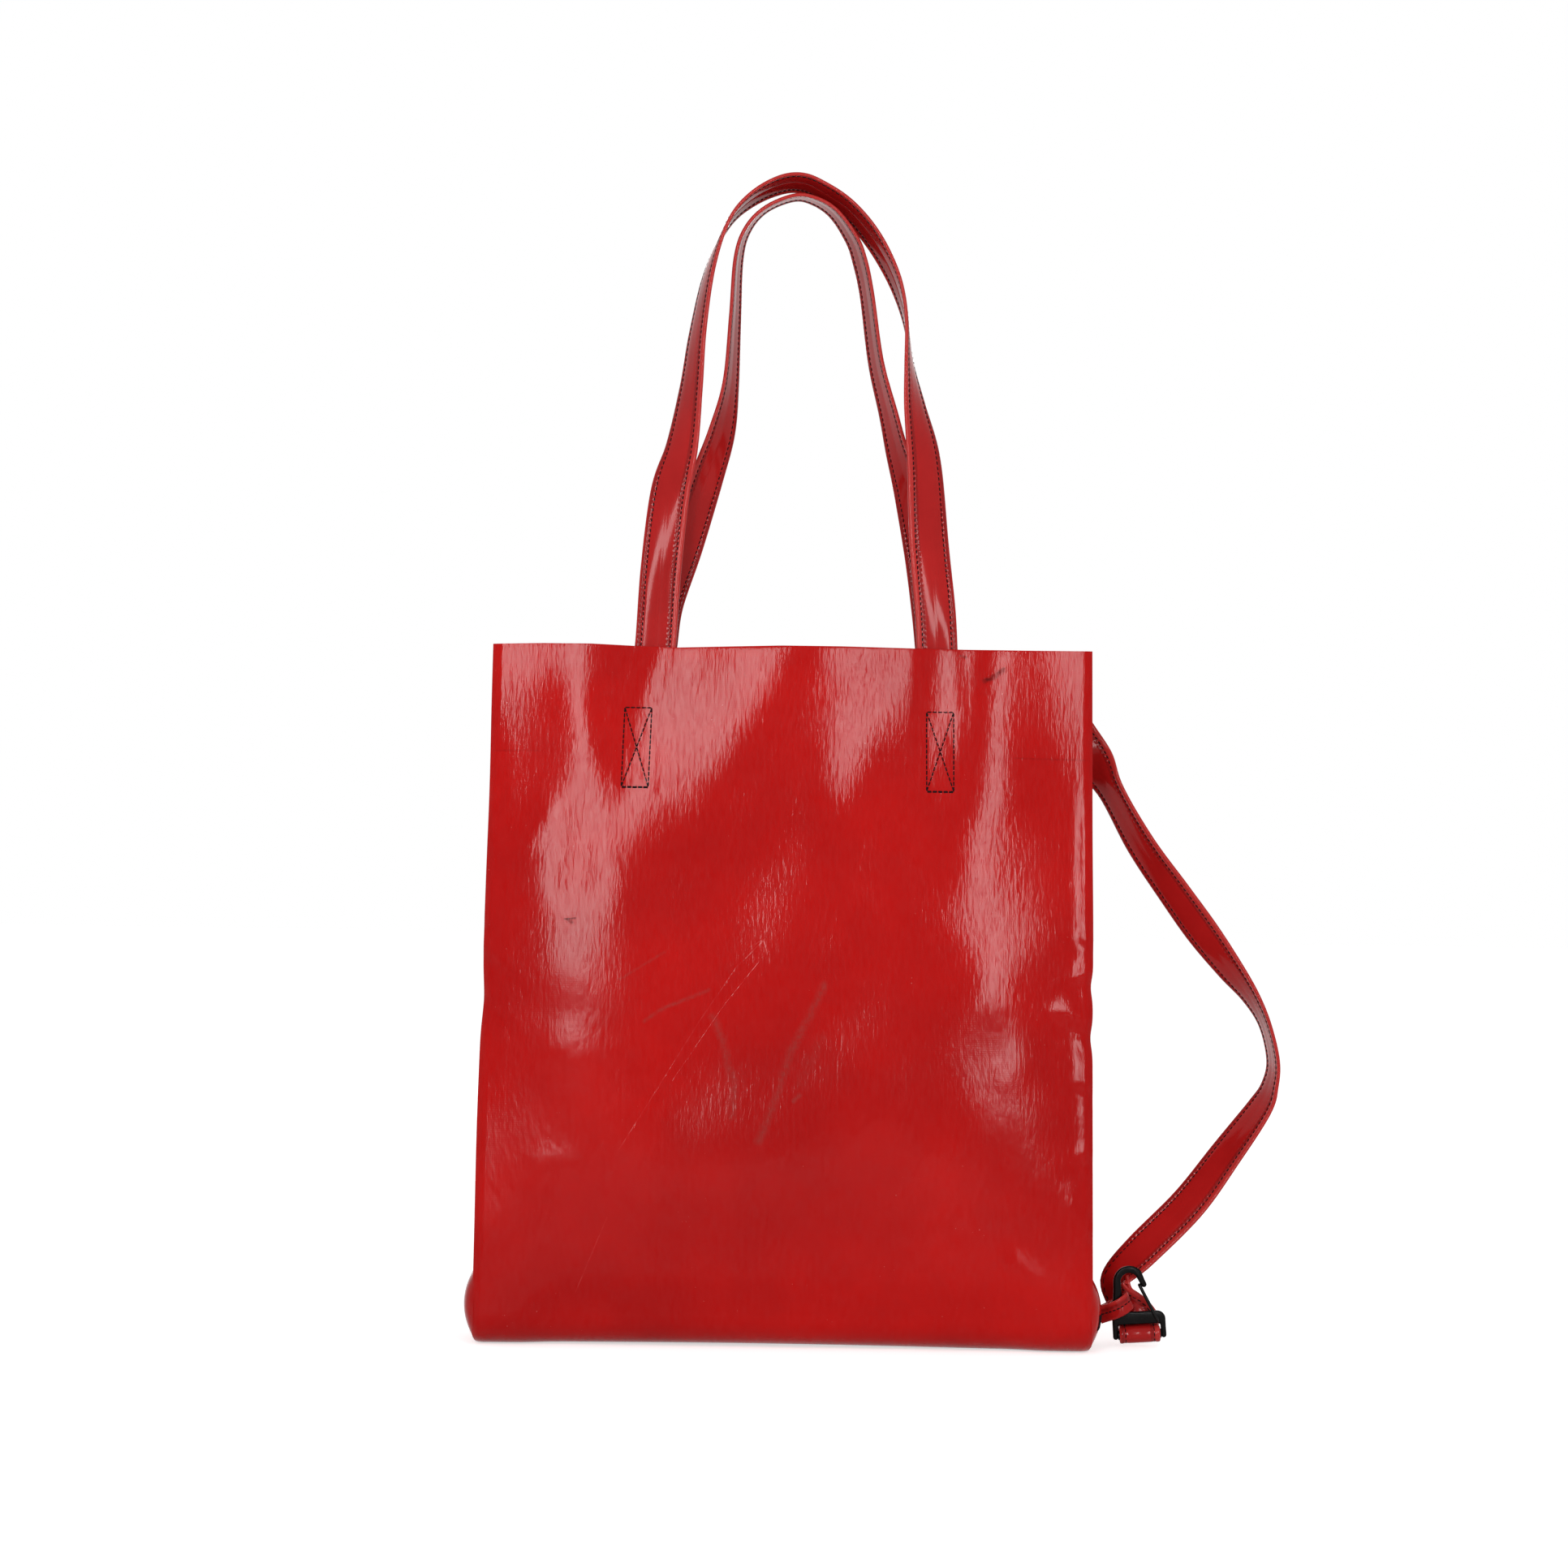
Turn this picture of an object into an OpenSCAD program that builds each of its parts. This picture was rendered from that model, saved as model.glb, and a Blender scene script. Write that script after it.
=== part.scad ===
// Tarpaulin tote bag with two carrying handles and a clip-on shoulder strap.
// Millimetres, +Z up. The front faces -Y, and the origin lies on the floor
// under the middle of the base.

/* [Bag] */
// Width of the bag at its rim
rim_w = 357; // [320:1:400]
// Width of the bag at its base
base_w = 367; // [330:1:410]
// Height of the rim above the floor
bag_h = 414; // [380:1:460]
// Depth of the base, front to back
base_d = 84; // [76:1:100]
// Depth of the mouth at its two sides
rim_d = 32; // [26:1:44]
// Thickness of the tarpaulin
wall = 1; // [0.7:0.1:1.2]
// Radius of the roll from the front into the base
roll_r = 18; // [12:1:22]
// How far the front and the back bow out at mid height
belly = 9; // [3:1:12]
// How far the rim bows out at its middle
rim_bow = 3; // [0:0.5:5]
// Depth of the hem turned in at the rim
hem_h = 63; // [45:1:75]
// Height of the side corners that push out at the base
lobe_h = 46; // [40:1:56]
// How far those corners push out
lobe_out = 7; // [5:0.5:8]

/* [Handles] */
// Width of the handles and of the shoulder strap
strap_w = 24.4; // [20:0.1:25]
// Thickness of the folded and sewn strapping
strap_t = 2; // [1.6:0.1:2.2]
// Distance between the two legs of a handle at the rim
leg_spacing = 168; // [150:1:190]
// Height of the front handle above the rim
front_drop = 281; // [260:1:320]
// How far the back handle's top lies under the front handle's
nest_drop = 9; // [8.5:0.5:16]
// Length of each handle end sewn inside the bag
sewn_l = 87; // [80:1:95]
// Distance from the rim down to a stitched box
box_drop = 36; // [30:1:42]
// Width of a stitched box
box_w = 16; // [12:0.5:18]
// Length of a stitched box
box_l = 47; // [40:1:48]
// Thickness of the sewing thread
thread_d = 0.6; // [0.5:0.1:0.8]

/* [Shoulder strap] */
// Height at which the strap leaves the side of the bag
exit_h = 354; // [340:1:366]
// How far the strap bows out from the side of the bag
strap_reach = 108; // [92:1:130]
// Length of the strap end sewn to the back
anchor_l = 50; // [44:1:54]
// Width of the corner loop
loop_w = 10.5; // [8:0.5:12]
// Thickness of the corner loop
loop_t = 1.6; // [1.2:0.1:1.8]

/* [Snap hook] */
// Height of the hook's bar above the floor
bar_h = 7.4; // [7:0.1:10]
// Radius of the bar that the strap wraps
bar_r = 2.8; // [2.4:0.1:2.8]
// Clearance between the bar and the strap round it
bar_gap = 0.25; // [0.2:0.05:0.4]
// Thickness of the hook's body
hook_t = 3.2; // [2.8:0.1:3.4]
// Width of each leg beside the strap
leg_w = 3.3; // [2.6:0.1:4]
// Diameter of the gate wire
wire_d = 1.3; // [1:0.1:1.4]

/* [Hidden] */

red = [0.78, 0.11, 0.1];
dark_thread = [0.13, 0.05, 0.05];
black = [0.05, 0.05, 0.05];
wire_black = [0.1, 0.1, 0.11];

// Clearance between two pieces that lie together
gap = 0.3;
round_fn = 64;

// Grid steps of the sheets
panel_cols = 16;
panel_rows = 18;
roll_steps = 6;
gusset_cols = 8;
gusset_low_rows = 6;
gusset_high_rows = 14;
ribbon_steps = 4;

// ---- The curved front of the bag -------------------------------------------

function half_width(z) = (base_w + (rim_w - base_w) * z / bag_h) / 2;
function half_depth(z) = (base_d + (rim_d - base_d) * z / bag_h) / 2;
function rise(z) = (z - roll_r) / (bag_h - roll_r);
function bow(x, z) = (1 - pow(x / half_width(z), 2))
    * (belly * sin(180 * rise(z)) + rim_bow * rise(z));

// A point on the front, off inwards from its outer face
function front_point(x, z, off) = [x, off - half_depth(z) - bow(x, z), z];

// A point on the roll under the front, at angle t from the upright
function roll_point(x, t, off) = [
    x,
    roll_r - half_depth(roll_r) - (roll_r - off) * cos(t),
    roll_r - (roll_r - off) * sin(t)
];

function flat_list(rows) = [for (row = rows) for (p = row) p];

// A closed sheet between two grids of points, outer and inner
module sheet(outer, inner) {
    rows = len(outer);
    cols = len(outer[0]);
    half = rows * cols;
    skin = [for (r = [0 : rows - 2]) for (c = [0 : cols - 2])
        let (i = r * cols + c)
        each [[i, i + 1, i + cols + 1], [i, i + cols + 1, i + cols],
              [half + i, half + i + cols + 1, half + i + 1],
              [half + i, half + i + cols, half + i + cols + 1]]];
    sides = [for (r = [0 : rows - 2])
        let (a = r * cols, b = a + cols - 1)
        each [[a, a + cols, half + a + cols], [a, half + a + cols, half + a],
              [b, half + b + cols, b + cols], [b, half + b, half + b + cols]]];
    ends = [for (c = [0 : cols - 2])
        let (a = c, b = (rows - 1) * cols + c)
        each [[a, half + a + 1, a + 1], [a, half + a, half + a + 1],
              [b, b + 1, half + b + 1], [b, half + b + 1, half + b]]];
    polyhedron(concat(flat_list(outer), flat_list(inner)), concat(skin, sides, ends));
}

// A patch that follows the front, from rows of [x, z] points
module front_patch(rows, near, far) {
    sheet([for (row = rows) [for (p = row) front_point(p[0], p[1], far)]],
          [for (row = rows) [for (p = row) front_point(p[0], p[1], near)]]);
}

// Straight strip on the front between two [x, z] points
module front_strip(from, to, width, near, far, steps = 3) {
    along = (to - from) / norm(to - from);
    across = [along[1], -along[0]] * width / 2;
    rows = [for (i = [0 : steps]) let (p = from + (to - from) * i / steps)
        [p - across, p + across]];
    front_patch(rows, near, far);
}

// ---- Ribbons ----------------------------------------------------------------

function spline(p0, p1, p2, p3, t) = 0.5 * (2 * p1 + (p2 - p0) * t
    + (2 * p0 - 5 * p1 + 4 * p2 - p3) * t * t + (3 * p1 - p0 - 3 * p2 + p3) * t * t * t);

function smooth_path(pts) = [
    for (i = [0 : len(pts) - 2]) for (s = [0 : ribbon_steps - 1])
        spline(pts[max(i - 1, 0)], pts[i], pts[i + 1],
               pts[min(i + 2, len(pts) - 1)], s / ribbon_steps),
    pts[len(pts) - 1]
];

function unit(v) = v / norm(v);
function spot(station) = [station[0], station[1], station[2]];
function heading(path, i) = unit(spot(path[min(i + 1, len(path) - 1)])
    - spot(path[max(i - 1, 0)]));

// Direction across a ribbon that hangs in an upright plane. At turn 0 the
// ribbon's width runs front to back; at 90 it lies in that plane.
function across_at(path, i) =
    let (t = heading(path, i), a = path[i][3],
         outward = unit([-t[2], 0, t[0]]),
         w = [0, -cos(a), 0] + sin(a) * outward)
    unit(w - (w * t) * t);

// Edge point of a ribbon: side is 1 or -1, lift is measured off its face
function ribbon_edge(path, i, width, side, lift) =
    let (w = across_at(path, i))
    spot(path[i]) + w * side * width / 2 + cross(heading(path, i), w) * lift;

// Moves p square onto a plane, given as [unit normal, height along it]
function onto_plane(p, plane) = p + plane[0] * (plane[1] - p * plane[0]);

function all_rings(path) = [for (i = [0 : len(path) - 1]) i];

// The ribbon through the listed rings, between two lifts off its middle. Its
// two ends can be set onto planes.
module ribbon(path, width, low, high, rings, start_cut = undef, end_cut = undef) {
    final = len(rings) - 1;
    function edge(k, side, lift) =
        let (p = ribbon_edge(path, rings[k], width, side, lift),
             cut = k == 0 ? start_cut : k == final ? end_cut : undef)
        is_undef(cut) ? p : onto_plane(p, cut);
    function grid(lift) = [for (k = [0 : final]) [edge(k, -1, lift), edge(k, 1, lift)]];
    sheet(grid(high), grid(low));
}

// ---- Bag --------------------------------------------------------------------

module front_sheet(near, far) {
    function row(f) = [for (c = [0 : panel_cols]) f * (2 * c / panel_cols - 1)];
    roll_rows = [for (s = [roll_steps : -1 : 1]) 90 * s / roll_steps];
    wall_rows = [for (r = [0 : panel_rows]) roll_r + (bag_h - roll_r) * r / panel_rows];
    function grid(off) = concat(
        [for (t = roll_rows) [for (x = row(half_width(roll_r))) roll_point(x, t, off)]],
        [for (z = wall_rows) [for (x = row(half_width(z))) front_point(x, z, off)]]);
    sheet(grid(far), grid(near));
}

module front_panel() {
    color(red) front_sheet(0, wall);
}

module back_panel() {
    color(red) mirror([0, 1, 0]) front_sheet(0, wall);
}

module base_panel() {
    flat_d = 2 * (half_depth(roll_r) - roll_r - gap);
    flat_w = 2 * half_width(roll_r);
    color(red) translate([-flat_w / 2, -flat_d / 2, 0]) cube([flat_w, flat_d, wall]);
}

// The hem lies inside the panel, clear of the folded sides
hem_inset = 8;
hem_off = wall + gap;

module hem() {
    rows = 6;
    front_patch([for (r = [0 : rows]) let (z = bag_h - hem_h + hem_h * r / rows)
        [for (c = [0 : panel_cols]) [(half_width(z) - hem_inset) * (2 * c / panel_cols - 1), z]]],
        hem_off, hem_off + wall);
}

module front_hem() {
    color(red) hem();
}

module back_hem() {
    color(red) mirror([0, 1, 0]) hem();
}

// ---- Gussets: folded in towards the mouth, pushed out at the base corners -----

gusset_inset = 0.8;
gusset_foot = wall + gap;
function gusset_reach(z) = z < roll_r
    ? half_depth(roll_r) - roll_r + sqrt(pow(roll_r - gusset_foot, 2) - pow(roll_r - z, 2))
    : half_depth(z) - gusset_foot;
gusset_half = gusset_reach(lobe_h);
function fold_depth(z) = sqrt(max(0, pow(gusset_half, 2) - pow(gusset_reach(z), 2)));
function lobe_bulge(z) = lobe_out * sin(180 * (z - gusset_foot) / (lobe_h - gusset_foot));

// Outer face of the right gusset; s runs from -1 at the front to 1 at the back
function gusset_x(z, s) = half_width(z) - gusset_inset
    + (z < lobe_h ? lobe_bulge(z) * (1 - s * s) : -fold_depth(z) * (1 - abs(s)));
function gusset_wall(z) = z < lobe_h ? wall : wall * gusset_half / gusset_reach(z);

module right_side() {
    low = [for (r = [0 : gusset_low_rows])
        gusset_foot + (lobe_h - gusset_foot) * r / gusset_low_rows];
    high = [for (r = [1 : gusset_high_rows])
        lobe_h + (bag_h - lobe_h) * pow(r / gusset_high_rows, 1.6)];
    function grid(inner) = [for (z = concat(low, high)) [for (c = [0 : gusset_cols])
        let (s = 2 * c / gusset_cols - 1)
        [gusset_x(z, s) - inner * gusset_wall(z), s * gusset_reach(z), z]]];
    sheet(grid(1), grid(0));
}

module right_gusset() {
    color(red) right_side();
}

module left_gusset() {
    color(red) mirror([1, 0, 0]) right_side();
}

// ---- Handles ------------------------------------------------------------------

// Handle ends lie inside, over the hem
end_off = hem_off + wall + gap;
left_leg = -0.488 * leg_spacing;
right_leg = 0.512 * leg_spacing;
// The legs splay a little from the rim down to the stitched boxes
left_splay = 9.2;
right_splay = 2;
left_box = left_leg - left_splay;
right_box = right_leg + right_splay;
left_lean = 2.3;
right_lean = 1.1;

module handle_end(leg_x, box_x, lean) {
    top = [leg_x, bag_h];
    knee = [box_x, bag_h - box_drop];
    foot = [box_x + sign(box_x) * lean, bag_h - sewn_l];
    half = [strap_w / 2, 0];
    steps = 4;
    rows = concat(
        [for (i = [0 : steps]) foot + (knee - foot) * i / steps],
        [for (i = [1 : steps]) knee + (top - knee) * i / steps]);
    front_patch([for (p = rows) [p - half, p + half]], end_off, end_off + strap_t);
}

module handle_end_pair() {
    handle_end(left_leg, left_box, left_lean);
    handle_end(right_leg, right_box, right_lean);
}

module front_handle_ends() {
    color(red) handle_end_pair();
}

module back_handle_ends() {
    color(red) mirror([0, 1, 0]) handle_end_pair();
}

// A box of stitches with its two diagonals, between four [x, z] corners
module crossed_box(a, b, c, d, lift) {
    union() for (run = [[a, b], [b, c], [c, d], [d, a], [a, c], [b, d]])
        let (grow = unit(run[1] - run[0]) * thread_d / 2)
        front_strip(run[0] - grow, run[1] + grow, thread_d, lift - thread_d, lift);
}

module stitched_box(box_x, lean) {
    down = [sign(box_x) * lean * box_l / sewn_l, -box_l];
    top = [box_x, bag_h - box_drop];
    side = [box_w / 2, 0];
    crossed_box(top - side, top + side, top + side + down, top - side + down, -gap / 2);
}

module box_pair() {
    stitched_box(left_box, left_lean);
    stitched_box(right_box, right_lean);
}

module front_box_stitches() {
    color(dark_thread) box_pair();
}

module back_box_stitches() {
    color(dark_thread) mirror([0, 1, 0]) box_pair();
}

// Stations of a handle: share of the leg spacing, share of its height, turn.
// The front handle hangs a little over to one side, and its width turns from
// across the bag at the rim to front-and-back over the top.
front_stations = [
    [-0.488, 0, -90], [-0.473, 0.16, -80], [-0.446, 0.327, -60], [-0.408, 0.43, -36],
    [-0.381, 0.552, -27], [-0.36, 0.676, -21], [-0.321, 0.808, -13], [-0.256, 0.907, 0],
    [-0.173, 0.961, 11], [-0.071, 0.993, 18], [0.012, 0.997, 21], [0.095, 0.975, 22],
    [0.173, 0.943, 22], [0.244, 0.897, 22], [0.304, 0.843, 19], [0.354, 0.779, 13],
    [0.387, 0.705, 2], [0.405, 0.605, -13], [0.426, 0.52, -25], [0.458, 0.406, -46],
    [0.479, 0.231, -62], [0.503, 0.089, -78], [0.512, 0, -90]
];
back_stations = [
    [-0.488, 0, 90], [-0.465, 0.1, 76], [-0.393, 0.232, 62], [-0.318, 0.382, 50],
    [-0.27, 0.48, 38], [-0.241, 0.588, 20], [-0.229, 0.735, 13], [-0.22, 0.86, 9],
    [-0.19, 0.925, 4], [-0.125, 0.971, 0], [-0.024, 0.998, 0], [0.05, 0.993, 3],
    [0.125, 0.965, 8], [0.19, 0.91, 13], [0.221, 0.862, 16], [0.249, 0.787, 16],
    [0.285, 0.64, 18], [0.333, 0.526, 23], [0.366, 0.445, 30], [0.411, 0.355, 45],
    [0.464, 0.208, 60], [0.495, 0.09, 76], [0.512, 0, 90]
];

// A handle's middle at the rim, and how far it leans to the bag's middle
rim_seat = -front_point(right_leg, bag_h, end_off + strap_t / 2)[1];
handle_foot = bag_h + gap;
function handle_path(stations, drop, side) = smooth_path([for (s = stations)
    [s[0] * leg_spacing, side * rim_seat * (1 - pow(s[1], 1.2)), handle_foot + s[1] * drop, s[2]]]);

front_path = handle_path(front_stations, front_drop, -1);
back_path = handle_path(back_stations, front_drop - nest_drop, 1);

foot_cut = [[0, 0, 1], handle_foot];

module handle(path) {
    color(red) ribbon(path, strap_w, -strap_t / 2, strap_t / 2, all_rings(path), foot_cut, foot_cut);
}

module front_handle() {
    handle(front_path);
}

module back_handle() {
    handle(back_path);
}

// ---- Shoulder strap -------------------------------------------------------------

// The strap swings about the line from its exit to the corner loop's root
exit_out = 1.5;
exit_x = half_width(exit_h) + exit_out;
exit_y = half_depth(exit_h) + gap + strap_t / 2;
root_z = 18;
root_y = 4;
root_out = 0.95;
root_x = gusset_x(root_z, root_y / gusset_reach(root_z)) + root_out;
swing_slope = (root_x - exit_x) / (root_z - exit_h);
strap_slope = unit([0.57, -0.82]);

// The hook's place: its bar, square to the bag's side and tilted a little
hook_tilt = 4;
slot_play = 1;
slot_w = strap_w + slot_play;
bar_out = 24.6;
bar_x = root_x + bar_out;
hook_y = root_y;
// How far behind the hook's plane the strap's middle comes down to the bar
seat_gap = 2.3;
strap_seat = hook_t / 2 + strap_t + seat_gap;

// Strap stations: share of the reach outwards from the swing line, share of
// the exit's height, share of the way back from the hook's plane to the exit,
// turn
exit_turn = 88;
strap_stations = [
    [0.105, 0.944, 1.007, 36], [0.274, 0.85, 0.996, 40], [0.46, 0.768, 0.996, 47],
    [0.612, 0.703, 0.996, 49], [0.763, 0.641, 0.996, 36], [0.879, 0.593, 0.972, 20],
    [0.958, 0.545, 0.949, 10], [1, 0.486, 0.937, 10], [0.981, 0.4435, 0.937, 16],
    [0.92, 0.404, 0.926, 30], [0.73, 0.325, 0.902, 46], [0.518, 0.24, 0.89, 60],
    [0.27, 0.158, 0.879, 70]
];
function swing_x(z) = exit_x + swing_slope * (z - exit_h);
// Its last stations, over the bar, in strap widths: [outwards, back from its
// seat, up, turn]
seat_up = 8.6;
seat_stations = [
    [-0.369, 0.361, 1.311, 52], [-0.23, 0.172, 0.779, 66], [-0.025, 0, seat_up / strap_w, 90]
];
strap_path = smooth_path(concat(
    [[exit_x, exit_y, exit_h, exit_turn]],
    [for (s = strap_stations) let (z = s[1] * exit_h)
        [swing_x(z) + s[0] * strap_reach, hook_y + s[2] * (exit_y - hook_y), z, s[3]]],
    [for (s = seat_stations)
        [bar_x + s[0] * strap_w, hook_y + strap_seat + s[1] * strap_w, bar_h + s[2] * strap_w, s[3]]]));
strap_last = len(strap_path) - 1;
// The strap ends square to the hook, with one ring to a station near its end
seat_rings = [strap_last - 2 * ribbon_steps, strap_last - ribbon_steps, strap_last];
// The fold at the exit stands in for the rings before this one
first_ring = 3;
hook_up = [-sin(hook_tilt), 0, cos(hook_tilt)];
// The plane that lies square to the hook, up from the bar
function hook_level(up) = [hook_up, [bar_x, hook_y, bar_h] * hook_up + up];

// Moves a point along the strap onto the swing line
function onto_fold(p, shift) =
    let (d = (swing_x(p[2]) + shift - p[0]) / (strap_slope[0] - swing_slope * strap_slope[1]))
    p + [strap_slope[0], 0, strap_slope[1]] * d;

// Half thickness of the strap at its fold, and how far its sewn end stays back
fold_t = 0.3;
fold_back = 1;

module shoulder_strap() {
    across = [-strap_slope[1], 0, strap_slope[0]] * strap_w / 2;
    function fold_edge(side, face) =
        onto_fold(spot(strap_path[0]) + side * across, 0) - [0, face * fold_t, 0];
    function ring_edge(i, side, face) =
        let (p = ribbon_edge(strap_path, i, strap_w, side, face * strap_t / 2))
        i == strap_last ? onto_plane(p, hook_level(seat_up)) : p;
    rings = concat([for (i = [first_ring : seat_rings[0] - 1]) i], seat_rings);
    function grid(face) = concat(
        [[fold_edge(-1, face), fold_edge(1, face)]],
        [for (i = rings) [ring_edge(i, -1, face), ring_edge(i, 1, face)]]);
    color(red) sheet(grid(1), grid(-1));
}

// The sewn end on the back, cut along the same fold line
anchor_across = [-strap_slope[1], strap_slope[0]];

module strap_anchor() {
    start = [exit_x, exit_h] - strap_slope * anchor_l;
    steps = 6;
    function run(side) =
        let (a = start + side * anchor_across * strap_w / 2,
             q = onto_fold([a[0], 0, a[1]], -fold_back), b = [q[0], q[2]])
        [for (i = [0 : steps]) a + (b - a) * i / steps];
    low = run(-1);
    high = run(1);
    color(red) mirror([0, 1, 0])
        front_patch([for (i = [0 : steps]) [high[i], low[i]]], -gap - strap_t, -gap);
}

anchor_margin = 4;
anchor_box_l = 30;

module strap_anchor_stitches() {
    across = anchor_across * box_w / 2;
    start = [exit_x, exit_h] - strap_slope * (anchor_l - anchor_margin);
    end = start + strap_slope * anchor_box_l;
    lift = -gap - strap_t - gap / 2;
    color(dark_thread) mirror([0, 1, 0])
        crossed_box(start - across, start + across, end + across, end - across, lift);
}

// ---- Snap hook --------------------------------------------------------------------

// Local axes of the hook: u along its bar, v up, on its middle plane
module hook_place() {
    translate([bar_x, hook_y, bar_h]) rotate([0, -hook_tilt, 0]) children();
}

// Extrudes a drawing in u and v to a plate about the hook's middle plane
module hook_plate(t) {
    rotate([90, 0, 0]) linear_extrude(t, center = true) children();
}

loop_inner = bar_r + bar_gap;
loop_outer = loop_inner + strap_t;
base_gap = 1.15;
base_low = loop_outer + base_gap;
base_h = 7.6;
base_high = base_low + base_h;
hook_w = slot_w + 2 * leg_w;
shoulder_r = 5;
arch_u = -4.5;
arch_rise = 18;
arch_v = base_high + arch_rise;
arch_r = 9.6;
arch_bar = 4.4;
arch_mid = arch_r - arch_bar / 2;
spine_u = arch_u - arch_r + arch_bar;
nose_turn = 35;
nose_l = 6.8;
nose_lean = 22;
nose_bar = 3.4;
pivot_u = 11.3;
pivot_v = base_low + 1.6;
wire_r = wire_d / 2;
pivot_gap = 0.05;

// Right edge of the spine and its fillet into the base: [from the spine's
// edge at the arch, up from the base]
spine_edge = [[0.8, 10], [1.5, 4.5], [3.1, 1.6], [6.7, -0.2]];

module hook_base() {
    square_w = hook_w - shoulder_r;
    translate([-hook_w / 2, base_low]) square([square_w, base_h]);
    intersection() {
        translate([0, base_low]) square([hook_w / 2, base_h]);
        union() {
            translate([hook_w / 2 - shoulder_r, base_high - shoulder_r])
                circle(shoulder_r, $fn = round_fn);
            translate([0, base_low]) square([hook_w / 2, base_h - shoulder_r]);
        }
    }
}

module hook_arch() {
    difference() {
        translate([arch_u, arch_v]) circle(arch_r, $fn = round_fn);
        translate([arch_u, arch_v]) circle(arch_r - arch_bar, $fn = round_fn);
        translate([arch_u - arch_r - 1, arch_v - arch_r - 1])
            square([2 * arch_r + 2, arch_r + 1]);
        translate([arch_u, arch_v]) rotate(nose_turn - 90)
            translate([0, -1]) square([arch_r + 1, arch_r + 2]);
    }
}

module hook_drawing() {
    nose_u = arch_u + arch_mid * cos(nose_turn);
    nose_v = arch_v + arch_mid * sin(nose_turn);
    difference() {
        union() {
            hook_base();
            // legs with round feet
            for (side = [-1, 1]) translate([side * (hook_w - leg_w) / 2, 0]) {
                translate([-leg_w / 2, -1]) square([leg_w, base_low + 2]);
                translate([0, -1]) circle(leg_w / 2, $fn = round_fn);
            }
            // spine, leaning in towards the arch
            polygon(concat(
                [[-hook_w / 2, base_low], [arch_u - arch_r, arch_v], [spine_u, arch_v]],
                [for (p = spine_edge) [spine_u + p[0], base_high + p[1]]],
                [[spine_u + spine_edge[3][0], base_low]]));
            hook_arch();
            // nose
            translate([nose_u, nose_v]) rotate(nose_lean) {
                translate([-nose_bar / 2, -nose_l]) square([nose_bar, nose_l + 1]);
                translate([0, -nose_l]) circle(nose_bar / 2, $fn = round_fn);
            }
        }
        translate([pivot_u, pivot_v]) circle(wire_r + pivot_gap, $fn = round_fn);
    }
}

module hook_frame() {
    color(black) hook_place() {
        hook_plate(hook_t) hook_drawing();
        rotate([0, 90, 0]) cylinder(r = bar_r, h = slot_w + 2 * gap, center = true, $fn = round_fn);
    }
}

// The gate is one bent wire that straddles the hook, pivots in its base and
// closes against the inside of the nose
gate_lean = 24.4;
gate_l = 23.8;
gate_side_gap = 0.15;
wire_fn = 20;

module gate_wire() {
    straddle = hook_t / 2 + wire_r + gate_side_gap;
    color(wire_black) hook_place() translate([pivot_u, 0, pivot_v]) rotate([0, -gate_lean, 0]) {
        for (side = [-1, 1]) translate([0, side * straddle, 0])
            cylinder(r = wire_r, h = gate_l, $fn = wire_fn);
        for (v = [0, gate_l]) translate([0, 0, v]) rotate([90, 0, 0])
            cylinder(r = wire_r, h = 2 * straddle, center = true, $fn = wire_fn);
        for (side = [-1, 1]) for (v = [0, gate_l]) translate([0, side * straddle, v])
            sphere(wire_r, $fn = wire_fn);
    }
}

// ---- Strap round the bar --------------------------------------------------------------

// The strap's end passes through the hook's slot, round the bar and up behind
// the strap: [back from the hook's plane, up from the bar]
stem_top = 7.8;
stem_low = 4.6;
stem_front = strap_seat - strap_t / 2;
tail_front = strap_seat + strap_t / 2 + gap;
tail_back = tail_front + strap_t;
// How far round the bar the strap leaves the ring, below and above
leave_low = 0.62;
leave_high = 0.6;

module strap_end_loop() {
    color(red) {
        hook_place() rotate([90, 0, 90]) linear_extrude(strap_w, center = true) difference() {
            union() {
                circle(loop_outer, $fn = round_fn);
                polygon([[0, -loop_outer], [loop_inner, -loop_outer * leave_low],
                         [tail_back, stem_top / 2], [tail_back, stem_top],
                         [stem_front, stem_top], [stem_front, stem_low],
                         [loop_inner * leave_high, loop_inner]]);
            }
            circle(loop_inner, $fn = round_fn);
        }
        ribbon(strap_path, strap_w, strap_seat - tail_back, strap_seat - tail_front,
               seat_rings, undef, hook_level(stem_top - 1));
    }
}

stitch_margin = 2.5;

module tail_stitches(ring) {
    high = strap_seat - tail_back - 2 * gap;
    up = heading(strap_path, ring) * thread_d / 2;
    function row(lift) = [for (side = [-1, 1])
        let (p = ribbon_edge(strap_path, ring, strap_w - 2 * stitch_margin, side, lift))
        [p + up, p - up]];
    sheet(row(high), row(high - thread_d));
}

module strap_end_stitches() {
    color(dark_thread) {
        tail_stitches(seat_rings[0]);
        tail_stitches(seat_rings[1]);
    }
}

// ---- Corner loop -----------------------------------------------------------------------

// Plan of the loop from its root, round the hook's spine and back:
// [outwards, forwards or back of the hook's plane, up, lean towards the bag]
loop_stations = [
    [0, -0.45, 0.4, 0], [4, -1.4, 1.9, 0.1], [8, -3.9, 3.6, 0.3], [12.5, -5.4, 5.9, 0.46],
    [16.6, -3.7, 8.6, 0.46], [18.3, 0, 9.8, 0.46], [16.8, 3.2, 8.8, 0.46], [12.5, 4.4, 6.1, 0.46],
    [8, 4.1, 3.8, 0.3], [4, 1.9, 2.2, 0.1], [0, 0.45, 0.6, 0]
];
loop_path = smooth_path([for (s = loop_stations)
    [root_x + s[0], hook_y + s[1], root_z + s[2], s[3]]]);
// Rings over which the loop thins out to its root
loop_taper = 3;

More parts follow.
